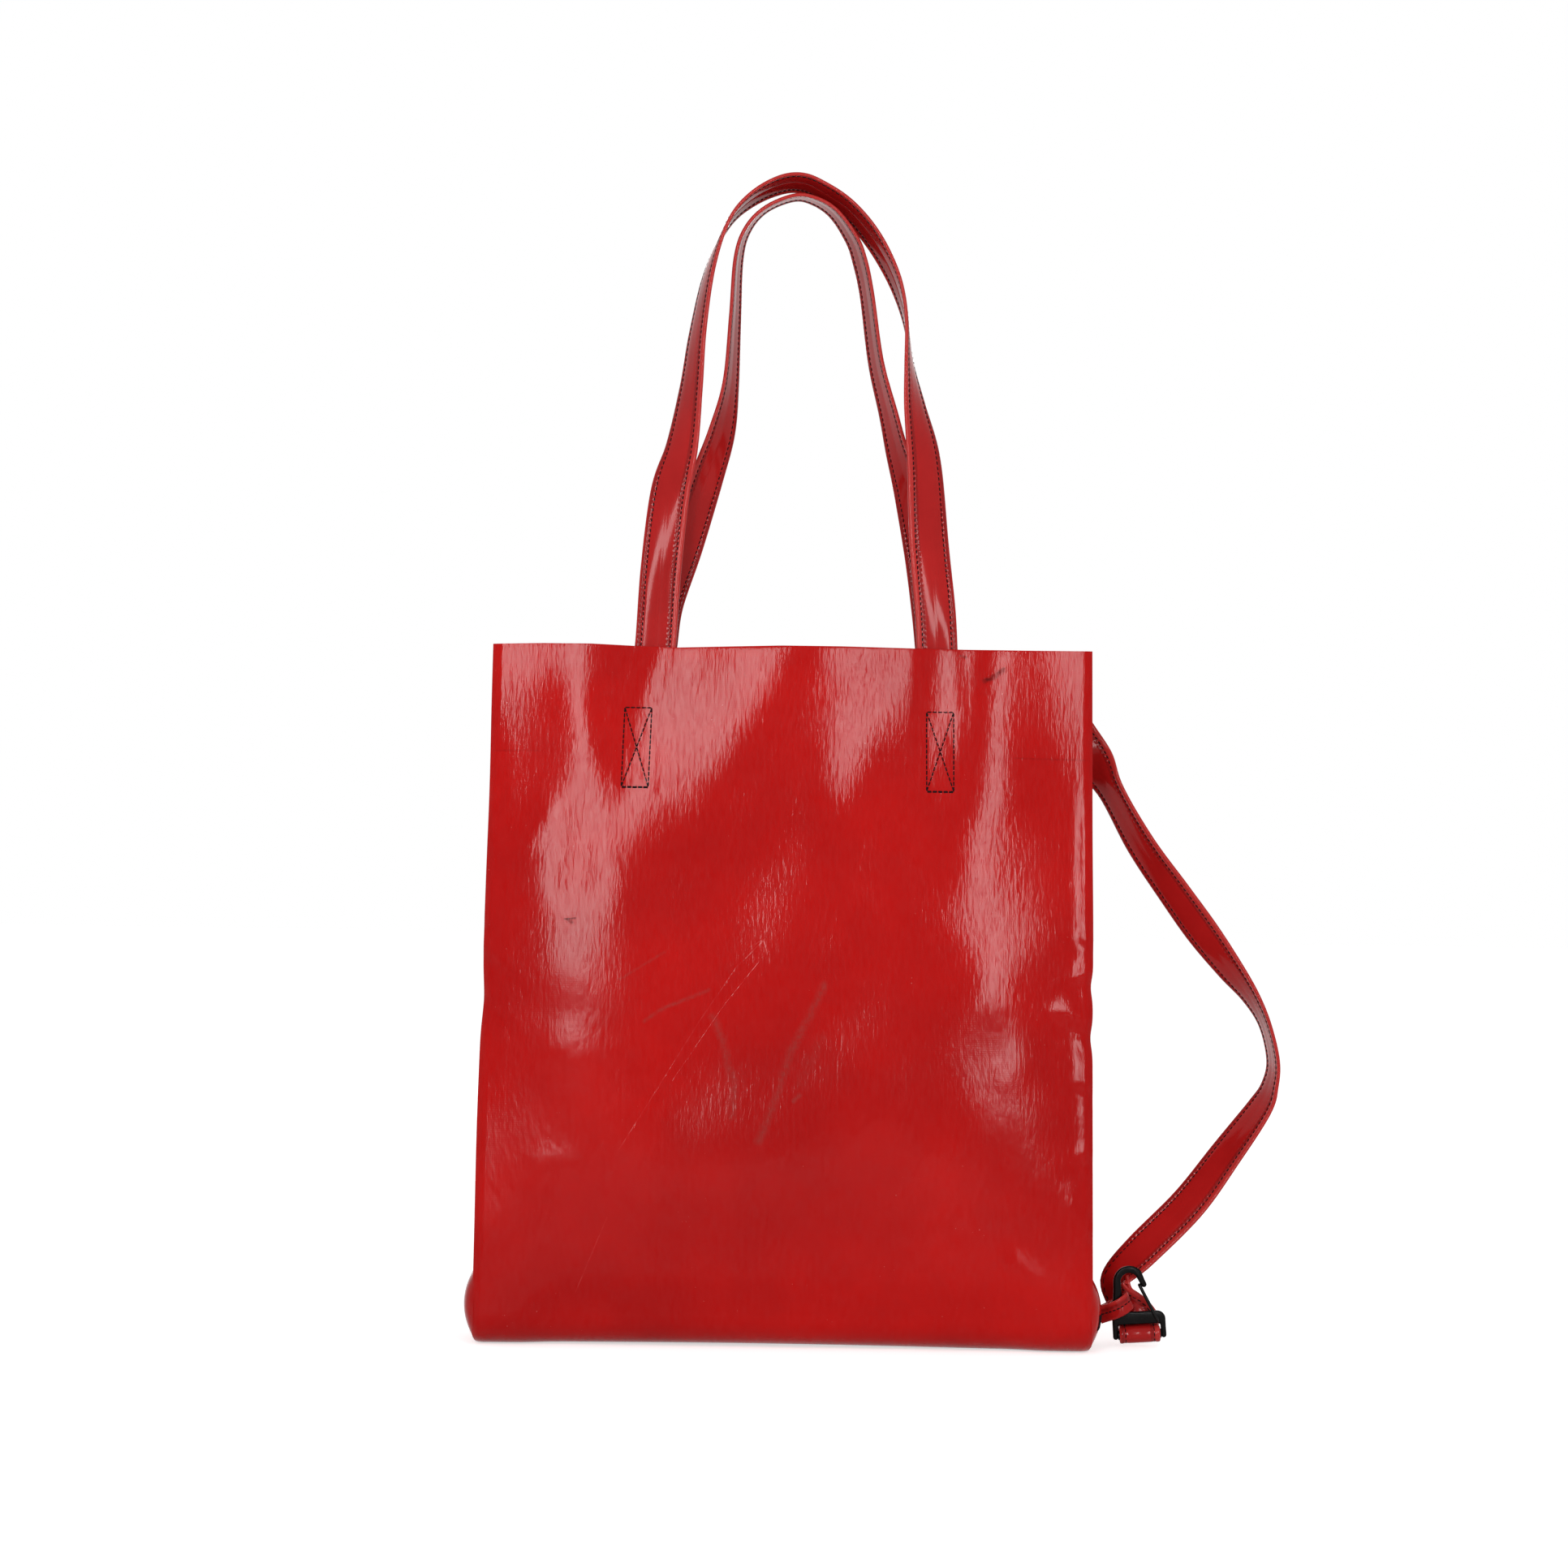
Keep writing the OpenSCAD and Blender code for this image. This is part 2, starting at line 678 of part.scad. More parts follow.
module corner_loop() {
    count = len(loop_path);
    function thick(i) = min(1, 0.4 + 0.6 * min(i, count - 1 - i) / loop_taper) * loop_t / 2;
    function edge(i, side, face) =
        let (t = heading(loop_path, i), w = unit([-loop_path[i][3], 0, 1]))
        spot(loop_path[i]) + w * side * loop_w / 2 + unit(cross(t, w)) * face * thick(i);
    function grid(face) = [for (i = [0 : count - 1]) [edge(i, -1, face), edge(i, 1, face)]];
    color(red) sheet(grid(1), grid(-1));
}

// Dense stitching that holds the loop's ends at the corner, beside its root
bartack_w = 5;
bartack_l = 13;
bartack_beside = 3;

module corner_bartack() {
    rows = 4;
    cols = 2;
    function grid(off) = [for (r = [0 : rows]) let (z = root_z - bartack_l / 2 + bartack_l * r / rows)
        [for (c = [0 : cols]) let (y = root_y - bartack_beside - bartack_w * (1 - c / cols))
            [gusset_x(z, y / gusset_reach(z)) + off, y, z]]];
    color(dark_thread) sheet(grid(gap), grid(gap + thread_d));
}

front_panel();
back_panel();
base_panel();
front_hem();
back_hem();
left_gusset();
right_gusset();
front_handle_ends();
back_handle_ends();
front_box_stitches();
back_box_stitches();
strap_anchor();
strap_anchor_stitches();
corner_bartack();
front_handle();
back_handle();
shoulder_strap();
strap_end_loop();
strap_end_stitches();
corner_loop();
hook_frame();
gate_wire();
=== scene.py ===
"""Tarpaulin tote bag with a clip-on shoulder strap: its finished pieces, over the loaded frame."""
import math

import bpy
import numpy as np
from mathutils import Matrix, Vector


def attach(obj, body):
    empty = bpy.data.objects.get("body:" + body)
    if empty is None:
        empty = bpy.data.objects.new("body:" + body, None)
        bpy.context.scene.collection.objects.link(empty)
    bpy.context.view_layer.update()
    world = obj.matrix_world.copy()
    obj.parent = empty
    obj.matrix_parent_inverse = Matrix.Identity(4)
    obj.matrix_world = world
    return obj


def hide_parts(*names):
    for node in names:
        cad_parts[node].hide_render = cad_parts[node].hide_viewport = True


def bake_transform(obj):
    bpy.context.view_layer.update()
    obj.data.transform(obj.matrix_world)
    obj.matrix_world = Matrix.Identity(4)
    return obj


bl_info = {
    "name": "Tarpaulin Tote Bag",
    "version": (1, 0, 0),
    "blender": (4, 5, 0),
    "location": "View3D > Sidebar > Tote Bag",
    "description": "Makes a tarpaulin tote bag with sewn handles and a clip-on shoulder strap",
    "category": "Add Mesh",
}

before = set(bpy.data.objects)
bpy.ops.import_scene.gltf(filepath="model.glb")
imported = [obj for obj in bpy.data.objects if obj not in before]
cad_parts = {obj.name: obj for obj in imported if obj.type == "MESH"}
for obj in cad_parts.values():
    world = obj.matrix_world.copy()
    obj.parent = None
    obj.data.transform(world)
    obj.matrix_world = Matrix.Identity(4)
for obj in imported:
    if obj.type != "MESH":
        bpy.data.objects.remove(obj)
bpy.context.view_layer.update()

MM = 0.001


# ---- Sizes in millimetres, as in the solid model --------------------------------

RIM_W, BASE_W, BAG_H = 357.0, 367.0, 414.0
BASE_D, RIM_D = 84.0, 32.0
WALL, ROLL_R, BELLY, RIM_BOW, HEM_H = 1.0, 18.0, 9.0, 3.0, 63.0
LOBE_H, LOBE_OUT = 46.0, 7.0
GAP = 0.3

STRAP_W, STRAP_T = 24.4, 2.0
LEG_SPACING, FRONT_DROP, NEST_DROP = 168.0, 281.0, 9.0
SEWN_L, BOX_DROP, BOX_W, BOX_L = 87.0, 36.0, 16.0, 47.0
HEM_OFF = WALL + GAP
END_OFF = HEM_OFF + WALL + GAP
LEG_X = (-0.488 * LEG_SPACING, 0.512 * LEG_SPACING)
BOX_X = (LEG_X[0] - 9.2, LEG_X[1] + 2.0)
BOX_LEAN = (-2.3, 1.1)

BAR_H, BAR_R, HOOK_T, LEG_W, WIRE_D = 7.4, 2.8, 3.2, 3.3, 1.3
BASE_LOW, BASE_HIGH = 6.2, 13.8
HOOK_W = STRAP_W + 1 + 2 * LEG_W
HOOK_TILT = math.radians(4)
RING_R = BAR_R + 0.25 + STRAP_T / 2
TAIL_OFF = STRAP_T + GAP
STRAP_SEAT = HOOK_T / 2 + STRAP_T + TAIL_OFF


def half_width(z):
    return (BASE_W + (RIM_W - BASE_W) * z / BAG_H) / 2


def half_depth(z):
    return (BASE_D + (RIM_D - BASE_D) * z / BAG_H) / 2


def rise(z):
    return np.clip((z - ROLL_R) / (BAG_H - ROLL_R), 0, 1)


def bow(x, z):
    swell = BELLY * np.sin(np.pi * rise(z)) + RIM_BOW * rise(z)
    return (1 - np.minimum(1, np.abs(x) / half_width(z)) ** 2) * swell


def smooth(t):
    t = np.clip(t, 0, 1)
    return t * t * (3 - 2 * t)


def bump_at(value, centre, width):
    return np.exp(-((value - centre) / width) ** 2)


# Soft folds of a panel: start x, z, end x, z, half width, height outwards
FRONT_FOLDS = (
    (-104.9, 295, -139.5, 238.9, 59.5, 3.27), (-126, 425, -130, 350, 24, 1.2),
    (-127.2, 379.6, -112.3, 339.1, 15.9, 0.88), (-73.1, 428.9, -125.2, 276.9, 16.4, -1.3),
    (4.6, 408.6, -38.3, 325.4, 31.7, 3.24), (-8, 289.9, -77.5, 285.7, 34.3, -1.79),
    (31.6, 375.3, 20.3, 332.2, 21.6, 1.45), (82.2, 431.7, 77.9, 289.6, 21.9, -1.81),
    (74.4, 326.6, 114.7, 224.9, 35.6, 2.27), (107.1, 400.8, 104.9, 330.5, 21.3, 1.05),
    (121, 428, 130, 335, 25, 2.3), (183.6, 304, 184.2, 128.6, 27.7, -1.22),
    (105.4, 244.6, 3.2, 187.1, 35.8, -2.48), (125.4, 125.6, 147.3, 51, 42.6, 1.65),
    (47.6, 365.4, 27.4, 203.3, 29.4, -2), (-25.9, 311, -41.4, 176.4, 40.5, -3.28),
    (-132.4, 173.5, -128.8, 169.2, 18.2, 0.89), (-139.8, 108, -128.1, 107.4, 9.9, 0.26),
    (167.8, 205, 185.2, 183.6, 9.1, 1.06), (180.5, 98.2, 176.2, 87.1, 9.8, 0.53),
    (137.1, 51.9, 177.1, 17, 9.9, 0.89), (-180.6, 234, -180, 223.6, 9.9, 0.19),
    (139.5, 172.9, 132.8, 164.8, 12.4, 0.36), (-104.1, 356.6, -113.9, 292.6, 10.9, 0.56),
    (64, 405.2, 42.1, 385, 9.2, 0.15), (-143.9, 315.6, -157.5, 296.9, 9.2, 0.47),
    (7.2, 338.6, -10.6, 323.2, 15.7, 0.35), (-34, 176, -30, 160, 26, 0.8),
)
BACK_FOLDS = (
    (-120, 380, -90, 200, 36, 2.2), (10, 400, 60, 250, 30, 2.0), (120, 300, 96, 120, 30, 2.0),
    (-30, 230, -60, 90, 36, -1.3), (150, 420, 150, 240, 12, -0.8), (-150, 90, 60, 56, 26, 1.0),
)
# Short creases at the two sides: side, start z, end z, length inwards, depth
SIDE_CREASES = (
    (-1, 228, 206, 30, 0.9), (-1, 204, 178, 26, 0.7), (-1, 246, 240, 18, 0.7),
    (1, 218, 207, 30, 1.1), (1, 188, 196, 34, 1.2), (1, 236, 244, 20, 0.5), (1, 150, 158, 26, 0.6),
    (1, 112, 104, 24, 0.7), (1, 66, 50, 26, 0.6),
)


def fold_relief(x, z, folds):
    relief = np.zeros_like(x)
    for x0, z0, x1, z1, width, height in folds:
        dx, dz = x1 - x0, z1 - z0
        t = np.clip(((x - x0) * dx + (z - z0) * dz) / (dx * dx + dz * dz), 0, 1)
        away = (x - x0 - t * dx) ** 2 + (z - z0 - t * dz) ** 2
        relief += height * np.exp(-away / width ** 2)
    return relief


def crease_relief(x, z):
    relief = np.zeros_like(x)
    for side, z0, z1, length, depth in SIDE_CREASES:
        inwards = np.clip((half_width(z) - side * x) / length, 0, 1)
        ridge_z = z0 + (z1 - z0) * inwards
        relief -= depth * (1 - inwards) ** 1.5 * (bump_at(z, ridge_z, 4.5)
                                                 - 0.55 * bump_at(z, ridge_z + 9, 5))
    return relief


def quiver(x, z, shift):
    """Small slow waves of a heavy coated cloth."""
    return (0.22 * np.sin(x / 23 + 1.7 * np.sin(z / 57 + shift)) * np.sin(z / 71 + 0.6 * shift)
            + 0.10 * np.sin(x / 9.5 + 1.3 * np.sin(z / 31) + 2 * shift) * np.sin(z / 43 + x / 60))


def strap_end_relief(x, z):
    """The sewn strap ends inside press through the panel."""
    relief = np.zeros_like(x)
    for leg, box, lean in zip(LEG_X, BOX_X, BOX_LEAN):
        drop = BAG_H - z
        middle = np.where(drop < BOX_DROP, leg + (box - leg) * drop / BOX_DROP,
                          box + lean * (drop - BOX_DROP) / (SEWN_L - BOX_DROP))
        across = smooth((STRAP_W / 2 + 3 - np.abs(x - middle)) / 6)
        relief += 0.3 * across * smooth((SEWN_L + 3 - drop) / 6)
        # the cloth is drawn in along the stitched box
        inside = np.minimum(BOX_W / 2 - np.abs(x - middle),
                            np.minimum(drop - BOX_DROP, BOX_DROP + BOX_L - drop))
        relief -= 0.2 * bump_at(inside, 0, 2.4)
    return relief


def foot_tuck(x, z):
    """The foot of a panel leans in below a soft crest that drops to both corners."""
    from_side = np.maximum(0, half_width(z) - np.abs(x))
    crest = 42 * smooth(from_side / 55)
    return 5.0 * smooth((crest - z) / 34) - 0.25 * bump_at(z, crest, 12) * smooth(from_side / 16)


def panel_relief(x, z, side):
    folds = FRONT_FOLDS if side < 0 else BACK_FOLDS
    ease = smooth((half_width(z) - np.abs(x)) / 14) * smooth(z / 40)
    relief = (fold_relief(x, z, folds) + quiver(x, z, 0.4 if side < 0 else 2.1)) * ease
    relief += crease_relief(x, z) * smooth(z / 40) * (1 if side < 0 else 0.8)
    relief += strap_end_relief(x, z)
    relief -= 0.1 * bump_at(z, BAG_H - HEM_H, 2.2)
    return relief - foot_tuck(x, z)


def corner_in(z):
    """The bottom corners are rounded off."""
    return 2.6 * np.clip(1 - z / 7, 0, 1) ** 2


def edge_roll(x, z):
    """How far a panel's side edges turn back towards the folded side."""
    near = np.clip((np.abs(x) - half_width(z) + 5) / 5, 0, 1)
    return 2.2 * near ** 2


def panel_skin(x, z, side, off=0.0):
    """Depth of the panel's outer face, moved off inwards; side is -1 in front and 1 behind."""
    out = half_depth(z) + bow(x, z) + panel_relief(x, z, side) - edge_roll(x, z)
    return side * (out - off)


def rim_lift(x, side):
    """The rim waves a little."""
    if side < 0:
        return np.interp(x, (-178, -150, -120, -93, -69, -38, -7, 30, 70, 104, 140, 178),
                         (0.2, 1.0, 1.1, 0.1, -0.5, 0.6, 1.6, 1.7, 1.2, 0.8, 0.9, 1.2))
    return 0.9 * np.sin(x / 41 + 0.8) + 0.4 * np.sin(x / 17)


def base_lift(x):
    """The underside rises a little along its middle."""
    return 1.3 * (1 - (np.abs(x + 12) / 200) ** 2) ** 2


def side_wave(x, z):
    """The sides are not quite straight."""
    left = -1.3 * bump_at(z, 205, 16) + 0.7 * bump_at(z, 130, 60) - 0.5 * bump_at(z, 330, 40)
    right = -1.2 * bump_at(z, 216, 7) - 1.3 * bump_at(z, 186, 8) + 0.4 * bump_at(z, 250, 40)
    return np.where(x < 0, -left, right)


# ---- Ribbons ---------------------------------------------------------------------


def unit_rows(a):
    return a / np.maximum(1e-9, np.linalg.norm(a, axis=1, keepdims=True))


def lengths(points):
    """The length along a line of points, at each of them."""
    step = np.linalg.norm(np.diff(points, axis=0), axis=1)
    return np.concatenate([[0], np.cumsum(step)])


def spline(stations, steps):
    """Smooth curve through every row of stations, with steps points to a span."""
    a = np.asarray(stations, float)
    padded = np.vstack([a[:1], a, a[-1:]])
    t = (np.arange(steps) / steps)[:, None]
    spans = []
    for i in range(len(a) - 1):
        p0, p1, p2, p3 = padded[i:i + 4]
        spans.append(0.5 * (2 * p1 + (p2 - p0) * t + (2 * p0 - 5 * p1 + 4 * p2 - p3) * t ** 2
                            + (3 * p1 - p0 - 3 * p2 + p3) * t ** 3))
    return np.vstack(spans + [a[-1:]])


def headings(points):
    ahead = np.vstack([points[1:], points[-1:]])
    behind = np.vstack([points[:1], points[:-1]])
    return unit_rows(ahead - behind)


def turned_across(points, turns):
    """Direction of the width: front to back at turn 0, in the upright plane at 90."""
    t = headings(points)
    a = np.radians(turns)[:, None]
    outward = unit_rows(np.column_stack([-t[:, 2], np.zeros(len(t)), t[:, 0]]))
    w = -np.cos(a) * np.array([[0, 1, 0]]) + np.sin(a) * outward
    return unit_rows(w - (w * t).sum(1, keepdims=True) * t)


class Ribbon:
    """A strap's middle line with its heading, width and face directions."""

    def __init__(self, stations, across, steps):
        self.spot = spline(stations, steps)
        self.head = headings(self.spot)
        w = spline(across, steps)
        self.across = unit_rows(w - (w * self.head).sum(1, keepdims=True) * self.head)
        self.face = np.cross(self.head, self.across)
        self.run = lengths(self.spot)

    def along(self, run, rows):
        return np.column_stack([np.interp(run, self.run, rows[:, k]) for k in range(3)])

    def at(self, run, across=0.0, lift=0.0):
        """Points at a length along the strap, moved across its width and off its face."""
        across, lift = np.reshape(across, (-1, 1)), np.reshape(lift, (-1, 1))
        return (self.along(run, self.spot) + self.along(run, self.across) * across
                + self.along(run, self.face) * lift)


FRONT_STATIONS = (
    (-0.488, 0, -91), (-0.473, 0.16, -90), (-0.446, 0.327, -76), (-0.408, 0.43, -52),
    (-0.381, 0.552, -34), (-0.36, 0.676, -23), (-0.321, 0.808, -13), (-0.256, 0.907, 0),
    (-0.173, 0.961, 11), (-0.071, 0.993, 18), (0.012, 0.997, 21), (0.095, 0.975, 22),
    (0.173, 0.943, 22), (0.244, 0.897, 22), (0.304, 0.843, 19), (0.354, 0.779, 13),
    (0.387, 0.705, 2), (0.405, 0.605, -13), (0.426, 0.52, -32), (0.458, 0.406, -56),
    (0.479, 0.231, -74), (0.503, 0.089, -84), (0.512, 0, -90),
)
BACK_STATIONS = (
    (-0.488, 0, 90), (-0.465, 0.1, 76), (-0.393, 0.232, 62), (-0.318, 0.382, 50),
    (-0.27, 0.48, 38), (-0.241, 0.588, 20), (-0.229, 0.735, 13), (-0.22, 0.86, 9),
    (-0.19, 0.925, 4), (-0.125, 0.971, 0), (-0.024, 0.998, 0), (0.05, 0.993, 3),
    (0.125, 0.965, 8), (0.19, 0.91, 13), (0.221, 0.862, 16), (0.249, 0.787, 16),
    (0.285, 0.64, 18), (0.333, 0.526, 23), (0.366, 0.445, 30), (0.411, 0.355, 45),
    (0.464, 0.208, 60), (0.495, 0.09, 76), (0.512, 0, 90),
)


def handle_ribbon(side):
    """A handle from its sewn end inside the bag, over the arch and down to the other end."""
    stations = FRONT_STATIONS if side < 0 else BACK_STATIONS
    drop = FRONT_DROP if side < 0 else FRONT_DROP - NEST_DROP
    middle = END_OFF + STRAP_T / 2
    seat = half_depth(BAG_H) + bow(LEG_X[1], BAG_H) - middle
    ends = []
    for leg, box, lean in zip(LEG_X, BOX_X, BOX_LEAN):
        down = [(leg + (box - leg) * 0.33, BAG_H - 12), (box, BAG_H - BOX_DROP),
                (box + lean * 0.33, BAG_H - 53), (box + lean * 0.67, BAG_H - 70),
                (box + lean, BAG_H - SEWN_L)]
        ends.append([(x, side * (half_depth(z) + bow(x, z) - middle), z) for x, z in down])
    arch = [(s[0] * LEG_SPACING, side * seat * (1 - s[1] ** 1.2), BAG_H + GAP + s[1] * drop)
            for s in stations]
    points = np.array(ends[0][::-1] + arch + ends[1])
    turns = [s[2] for s in stations]
    turns = np.array([turns[0]] * len(ends[0]) + turns + [turns[-1]] * len(ends[1]), float)
    return Ribbon(points, turned_across(points, turns), 10)


EXIT_H = 354.0
EXIT = np.array([half_width(EXIT_H) + 1.5, half_depth(EXIT_H) + GAP + STRAP_T / 2, EXIT_H])
ROOT = np.array([189.822, 4.0, 18.0])
BAR = np.array([ROOT[0] + 24.6, ROOT[1], BAR_H])
SWING_SLOPE = (ROOT[0] - EXIT[0]) / (ROOT[2] - EXIT[2])
STRAP_SLOPE = np.array([0.57, 0, -0.82]) / math.hypot(0.57, 0.82)
ANCHOR_L = 50.0
STRAP_REACH = 108.0
STRAP_STATIONS = (
    (0.105, 0.944, 1.007, 36), (0.274, 0.85, 0.996, 40), (0.46, 0.768, 0.996, 47),
    (0.612, 0.703, 0.996, 49), (0.763, 0.641, 0.996, 36), (0.879, 0.593, 0.972, 20),
    (0.958, 0.545, 0.949, 10), (1, 0.486, 0.937, 10), (0.981, 0.4435, 0.937, 16),
    (0.92, 0.404, 0.926, 30), (0.73, 0.325, 0.902, 44), (0.518, 0.24, 0.89, 54),
    (0.25, 0.158, 0.879, 54),
)
SEAT_STATIONS = (
    (-0.6, 0.39, 1.28, 34), (-0.46, 0.25, 0.78, 42), (-0.025, 0, 8.6 / STRAP_W, 90),
)
HOOK_U = np.array([math.cos(HOOK_TILT), 0, math.sin(HOOK_TILT)])
HOOK_V = np.array([-math.sin(HOOK_TILT), 0, math.cos(HOOK_TILT)])
HOOK_Q = np.array([0.0, 1.0, 0.0])


def hook_point(u, q, v):
    """A point by the hook's own axes: along its bar, back from its plane, up from the bar."""
    u, q, v = (np.asarray(a, float)[..., None] for a in (u, q, v))
    return BAR + HOOK_U * u + HOOK_Q * q + HOOK_V * v


def strap_ribbon():
    """The shoulder strap from its sewn end, round the side, through the hook and back up."""
    points, turns = [], [90.0] * 4 + [88.0]
    for run in (0, 13, 26, 39):
        x, _, z = EXIT + STRAP_SLOPE * (run - ANCHOR_L)
        points.append((x, float(panel_skin(x, z, 1, -GAP - STRAP_T / 2)), z))
    points.append(tuple(EXIT))
    for out, up, deep, turn in STRAP_STATIONS:
        z = up * EXIT_H
        x = EXIT[0] + SWING_SLOPE * (z - EXIT_H) + out * STRAP_REACH
        points.append((x, ROOT[1] + deep * (EXIT[1] - ROOT[1]), z))
        turns.append(turn)
    for out, deep, up, turn in SEAT_STATIONS:
        points.append((BAR[0] + out * STRAP_W, ROOT[1] + STRAP_SEAT + deep * STRAP_W,
                       BAR_H + up * STRAP_W))
        turns.append(turn)
    points = np.array(points)
    across = turned_across(points, np.array(turns))
    across[-1] = HOOK_U
    face = np.cross(headings(points), across)
    # round the bar: [back from the hook's plane, up from the bar]
    seat_u = float((points[-1] - BAR) @ HOOK_U)
    turn_in = [(5.2, 6.2), (3.4, 4.7), (1.4, 4.25)]
    ring = [(RING_R * math.cos(a), RING_R * math.sin(a))
            for a in np.radians((96, 130, 165, 200, 235, 270, 300))]
    turn_up = [(5.0, -1.9), (7.4, 1.4), (8.2, 5.2)]
    wrap = np.array([hook_point(seat_u, q, v) for q, v in turn_in + ring + turn_up])
    tail_at = [-1, -2, -3]
    tail = points[tail_at] - TAIL_OFF * face[tail_at]
    stations = np.vstack([points, wrap, tail])
    widths = np.vstack([across, np.repeat(HOOK_U[None], len(wrap), 0), across[tail_at]])
    return Ribbon(stations, widths, 8)


# ---- Meshes ------------------------------------------------------------------------


def deselect_all():
    if bpy.context.object and bpy.context.object.mode != "OBJECT":
        bpy.ops.object.mode_set(mode="OBJECT")
    bpy.ops.object.select_all(action="DESELECT")


def take(obj):
    """Selects one object and makes it the active one."""
    deselect_all()
    obj.select_set(True)
    bpy.context.view_layer.objects.active = obj


def edit_mesh(obj, *steps):
    """Runs edit-mode steps on the whole mesh of one object."""
    take(obj)
    bpy.ops.object.mode_set(mode="EDIT")
    bpy.ops.mesh.select_all(action="SELECT")
    for step in steps:
        step()
    bpy.ops.object.mode_set(mode="OBJECT")


def apply_modifier(obj, kind, **values):
    modifier = obj.modifiers.new(kind.title(), kind)
    for key, value in values.items():
        setattr(modifier, key, value)
    take(obj)
    bpy.ops.object.modifier_apply(modifier=modifier.name)


def shade(obj, angle):
    """Smooth shading, broken at edges sharper than an angle in degrees."""
    take(obj)
    bpy.ops.object.shade_smooth_by_angle(angle=math.radians(angle))


def face_outwards():
    bpy.ops.mesh.normals_make_consistent(inside=False)


def plain_mesh(name, points, faces):
    """A new object of points in millimetres and faces."""
    mesh = bpy.data.meshes.new(name)
    mesh.from_pydata((points * MM).tolist(), [], faces)
    obj = bpy.data.objects.new(name, mesh)
    bpy.context.scene.collection.objects.link(obj)
    return obj


def shaped_grid(name, columns, rows, place, measure):
    """Adds a flat grid and moves its points with place(u, v), both 0 to 1, in millimetres.

    measure(u, v) gives the flat cloth's own millimetres for the UV map."""
    deselect_all()
    bpy.ops.mesh.primitive_grid_add(x_subdivisions=columns, y_subdivisions=rows, size=1)
    obj = bpy.context.object
    obj.name = obj.data.name = name
    mesh = obj.data
    flat = np.empty(len(mesh.vertices) * 3)
    mesh.vertices.foreach_get("co", flat)
    flat = flat.reshape(-1, 3)
    u, v = flat[:, 0] + 0.5, flat[:, 1] + 0.5
    corner = np.empty(len(mesh.loops), int)
    mesh.loops.foreach_get("vertex_index", corner)
    cloth = np.column_stack(measure(u, v)) * MM
    mesh.uv_layers[0].name = "cloth"
    mesh.uv_layers[0].data.foreach_set("uv", cloth[corner].ravel())
    mesh.vertices.foreach_set("co", (np.asarray(place(u, v)) * MM).ravel())
    mesh.update()
    return obj


def give_wall(obj, outward):
    """Turns most of a sheet's faces outward and gives it the cloth's thickness inwards."""
    normal = np.empty(len(obj.data.polygons) * 3)
    obj.data.polygons.foreach_get("normal", normal)
    if (normal.reshape(-1, 3) @ outward).sum() < 0:
        edit_mesh(obj, bpy.ops.mesh.flip_normals)
    apply_modifier(obj, "SOLIDIFY", thickness=WALL * MM, offset=-1, use_even_offset=True)
    shade(obj, 50)
    return obj


def swept(name, spots, across, face, outline, crown=0.0):
    """A closed band: outline holds [across, lift] points, one loop, in millimetres.

    crown, one value or one for each spot, is how far the two edges turn to the face's side."""
    crown = np.broadcast_to(crown, len(spots))
    bend = (outline[:, 0] / np.abs(outline[:, 0]).max()) ** 2
    loop = np.vstack([outline, outline[:1]])
    girth, run = lengths(loop), lengths(spots)
    rows, columns = len(spots) - 1, len(loop) - 1

    def nearest(u, v):
        return np.rint(v * rows).astype(int), np.rint(u * columns).astype(int)

    def place(u, v):
        i, j = nearest(u, v)
        lift = loop[j, 1] + crown[i] * bend[j % columns]
        return spots[i] + across[i] * loop[j, :1] + face[i] * lift[:, None]

    def measure(u, v):
        i, j = nearest(u, v)
        return girth[j], run[i]

    obj = shaped_grid(name, columns, rows, place, measure)
    edit_mesh(obj, lambda: bpy.ops.mesh.remove_doubles(threshold=2e-6),
              lambda: bpy.ops.mesh.fill_holes(sides=0), face_outwards)
    shade(obj, 60)
    return obj


STITCH_SIDES = 6
# Rings of one stitch: share of its length, share of its thickness, how far it rises
STITCH_RINGS = ((-0.5, 0.4, -0.9), (-0.38, 0.9, -0.15), (0.0, 1.0, 0.12), (0.38, 0.9, -0.15),
                (0.5, 0.4, -0.9))
# A box's stitch and its gap share a pitch
BOX_STITCH = 0.88


def sew(name, starts, ends, normals, settings):
    """Adds one small stitch of thread from each start to its end, lying on the cloth."""
    angle = np.arange(STITCH_SIDES) * 2 * math.pi / STITCH_SIDES
    r = settings.thread_thickness / 2
    form = np.vstack([np.column_stack([np.full(STITCH_SIDES, along), size * r * np.cos(angle),
                                       r * (size * np.sin(angle) + sunk)])
                      for along, size, sunk in STITCH_RINGS])
    along, up = ends - starts, unit_rows(np.broadcast_to(normals, starts.shape))
    side = unit_rows(np.cross(up, along))
    middle = (starts + ends) / 2
    points = (middle[:, None] + along[:, None] * form[None, :, :1]
              + side[:, None] * form[None, :, 1:2] + up[:, None] * form[None, :, 2:])
    last = (len(STITCH_RINGS) - 1) * STITCH_SIDES
    faces = []
    for ring in range(0, last, STITCH_SIDES):
        for k in range(STITCH_SIDES):
            a, b = ring + k, ring + (k + 1) % STITCH_SIDES
            faces.append((a, b, b + STITCH_SIDES, a + STITCH_SIDES))
    faces.append(tuple(range(STITCH_SIDES))[::-1])
    faces.append(tuple(range(last, last + STITCH_SIDES)))
    every = [tuple(k + n * len(form) for k in face) for n in range(len(starts)) for face in faces]
    obj = plain_mesh(name, points.reshape(-1, 3), every)
    edit_mesh(obj, face_outwards)
    bpy.ops.object.shade_smooth()
    dress(obj, "thread", settings)
    return obj


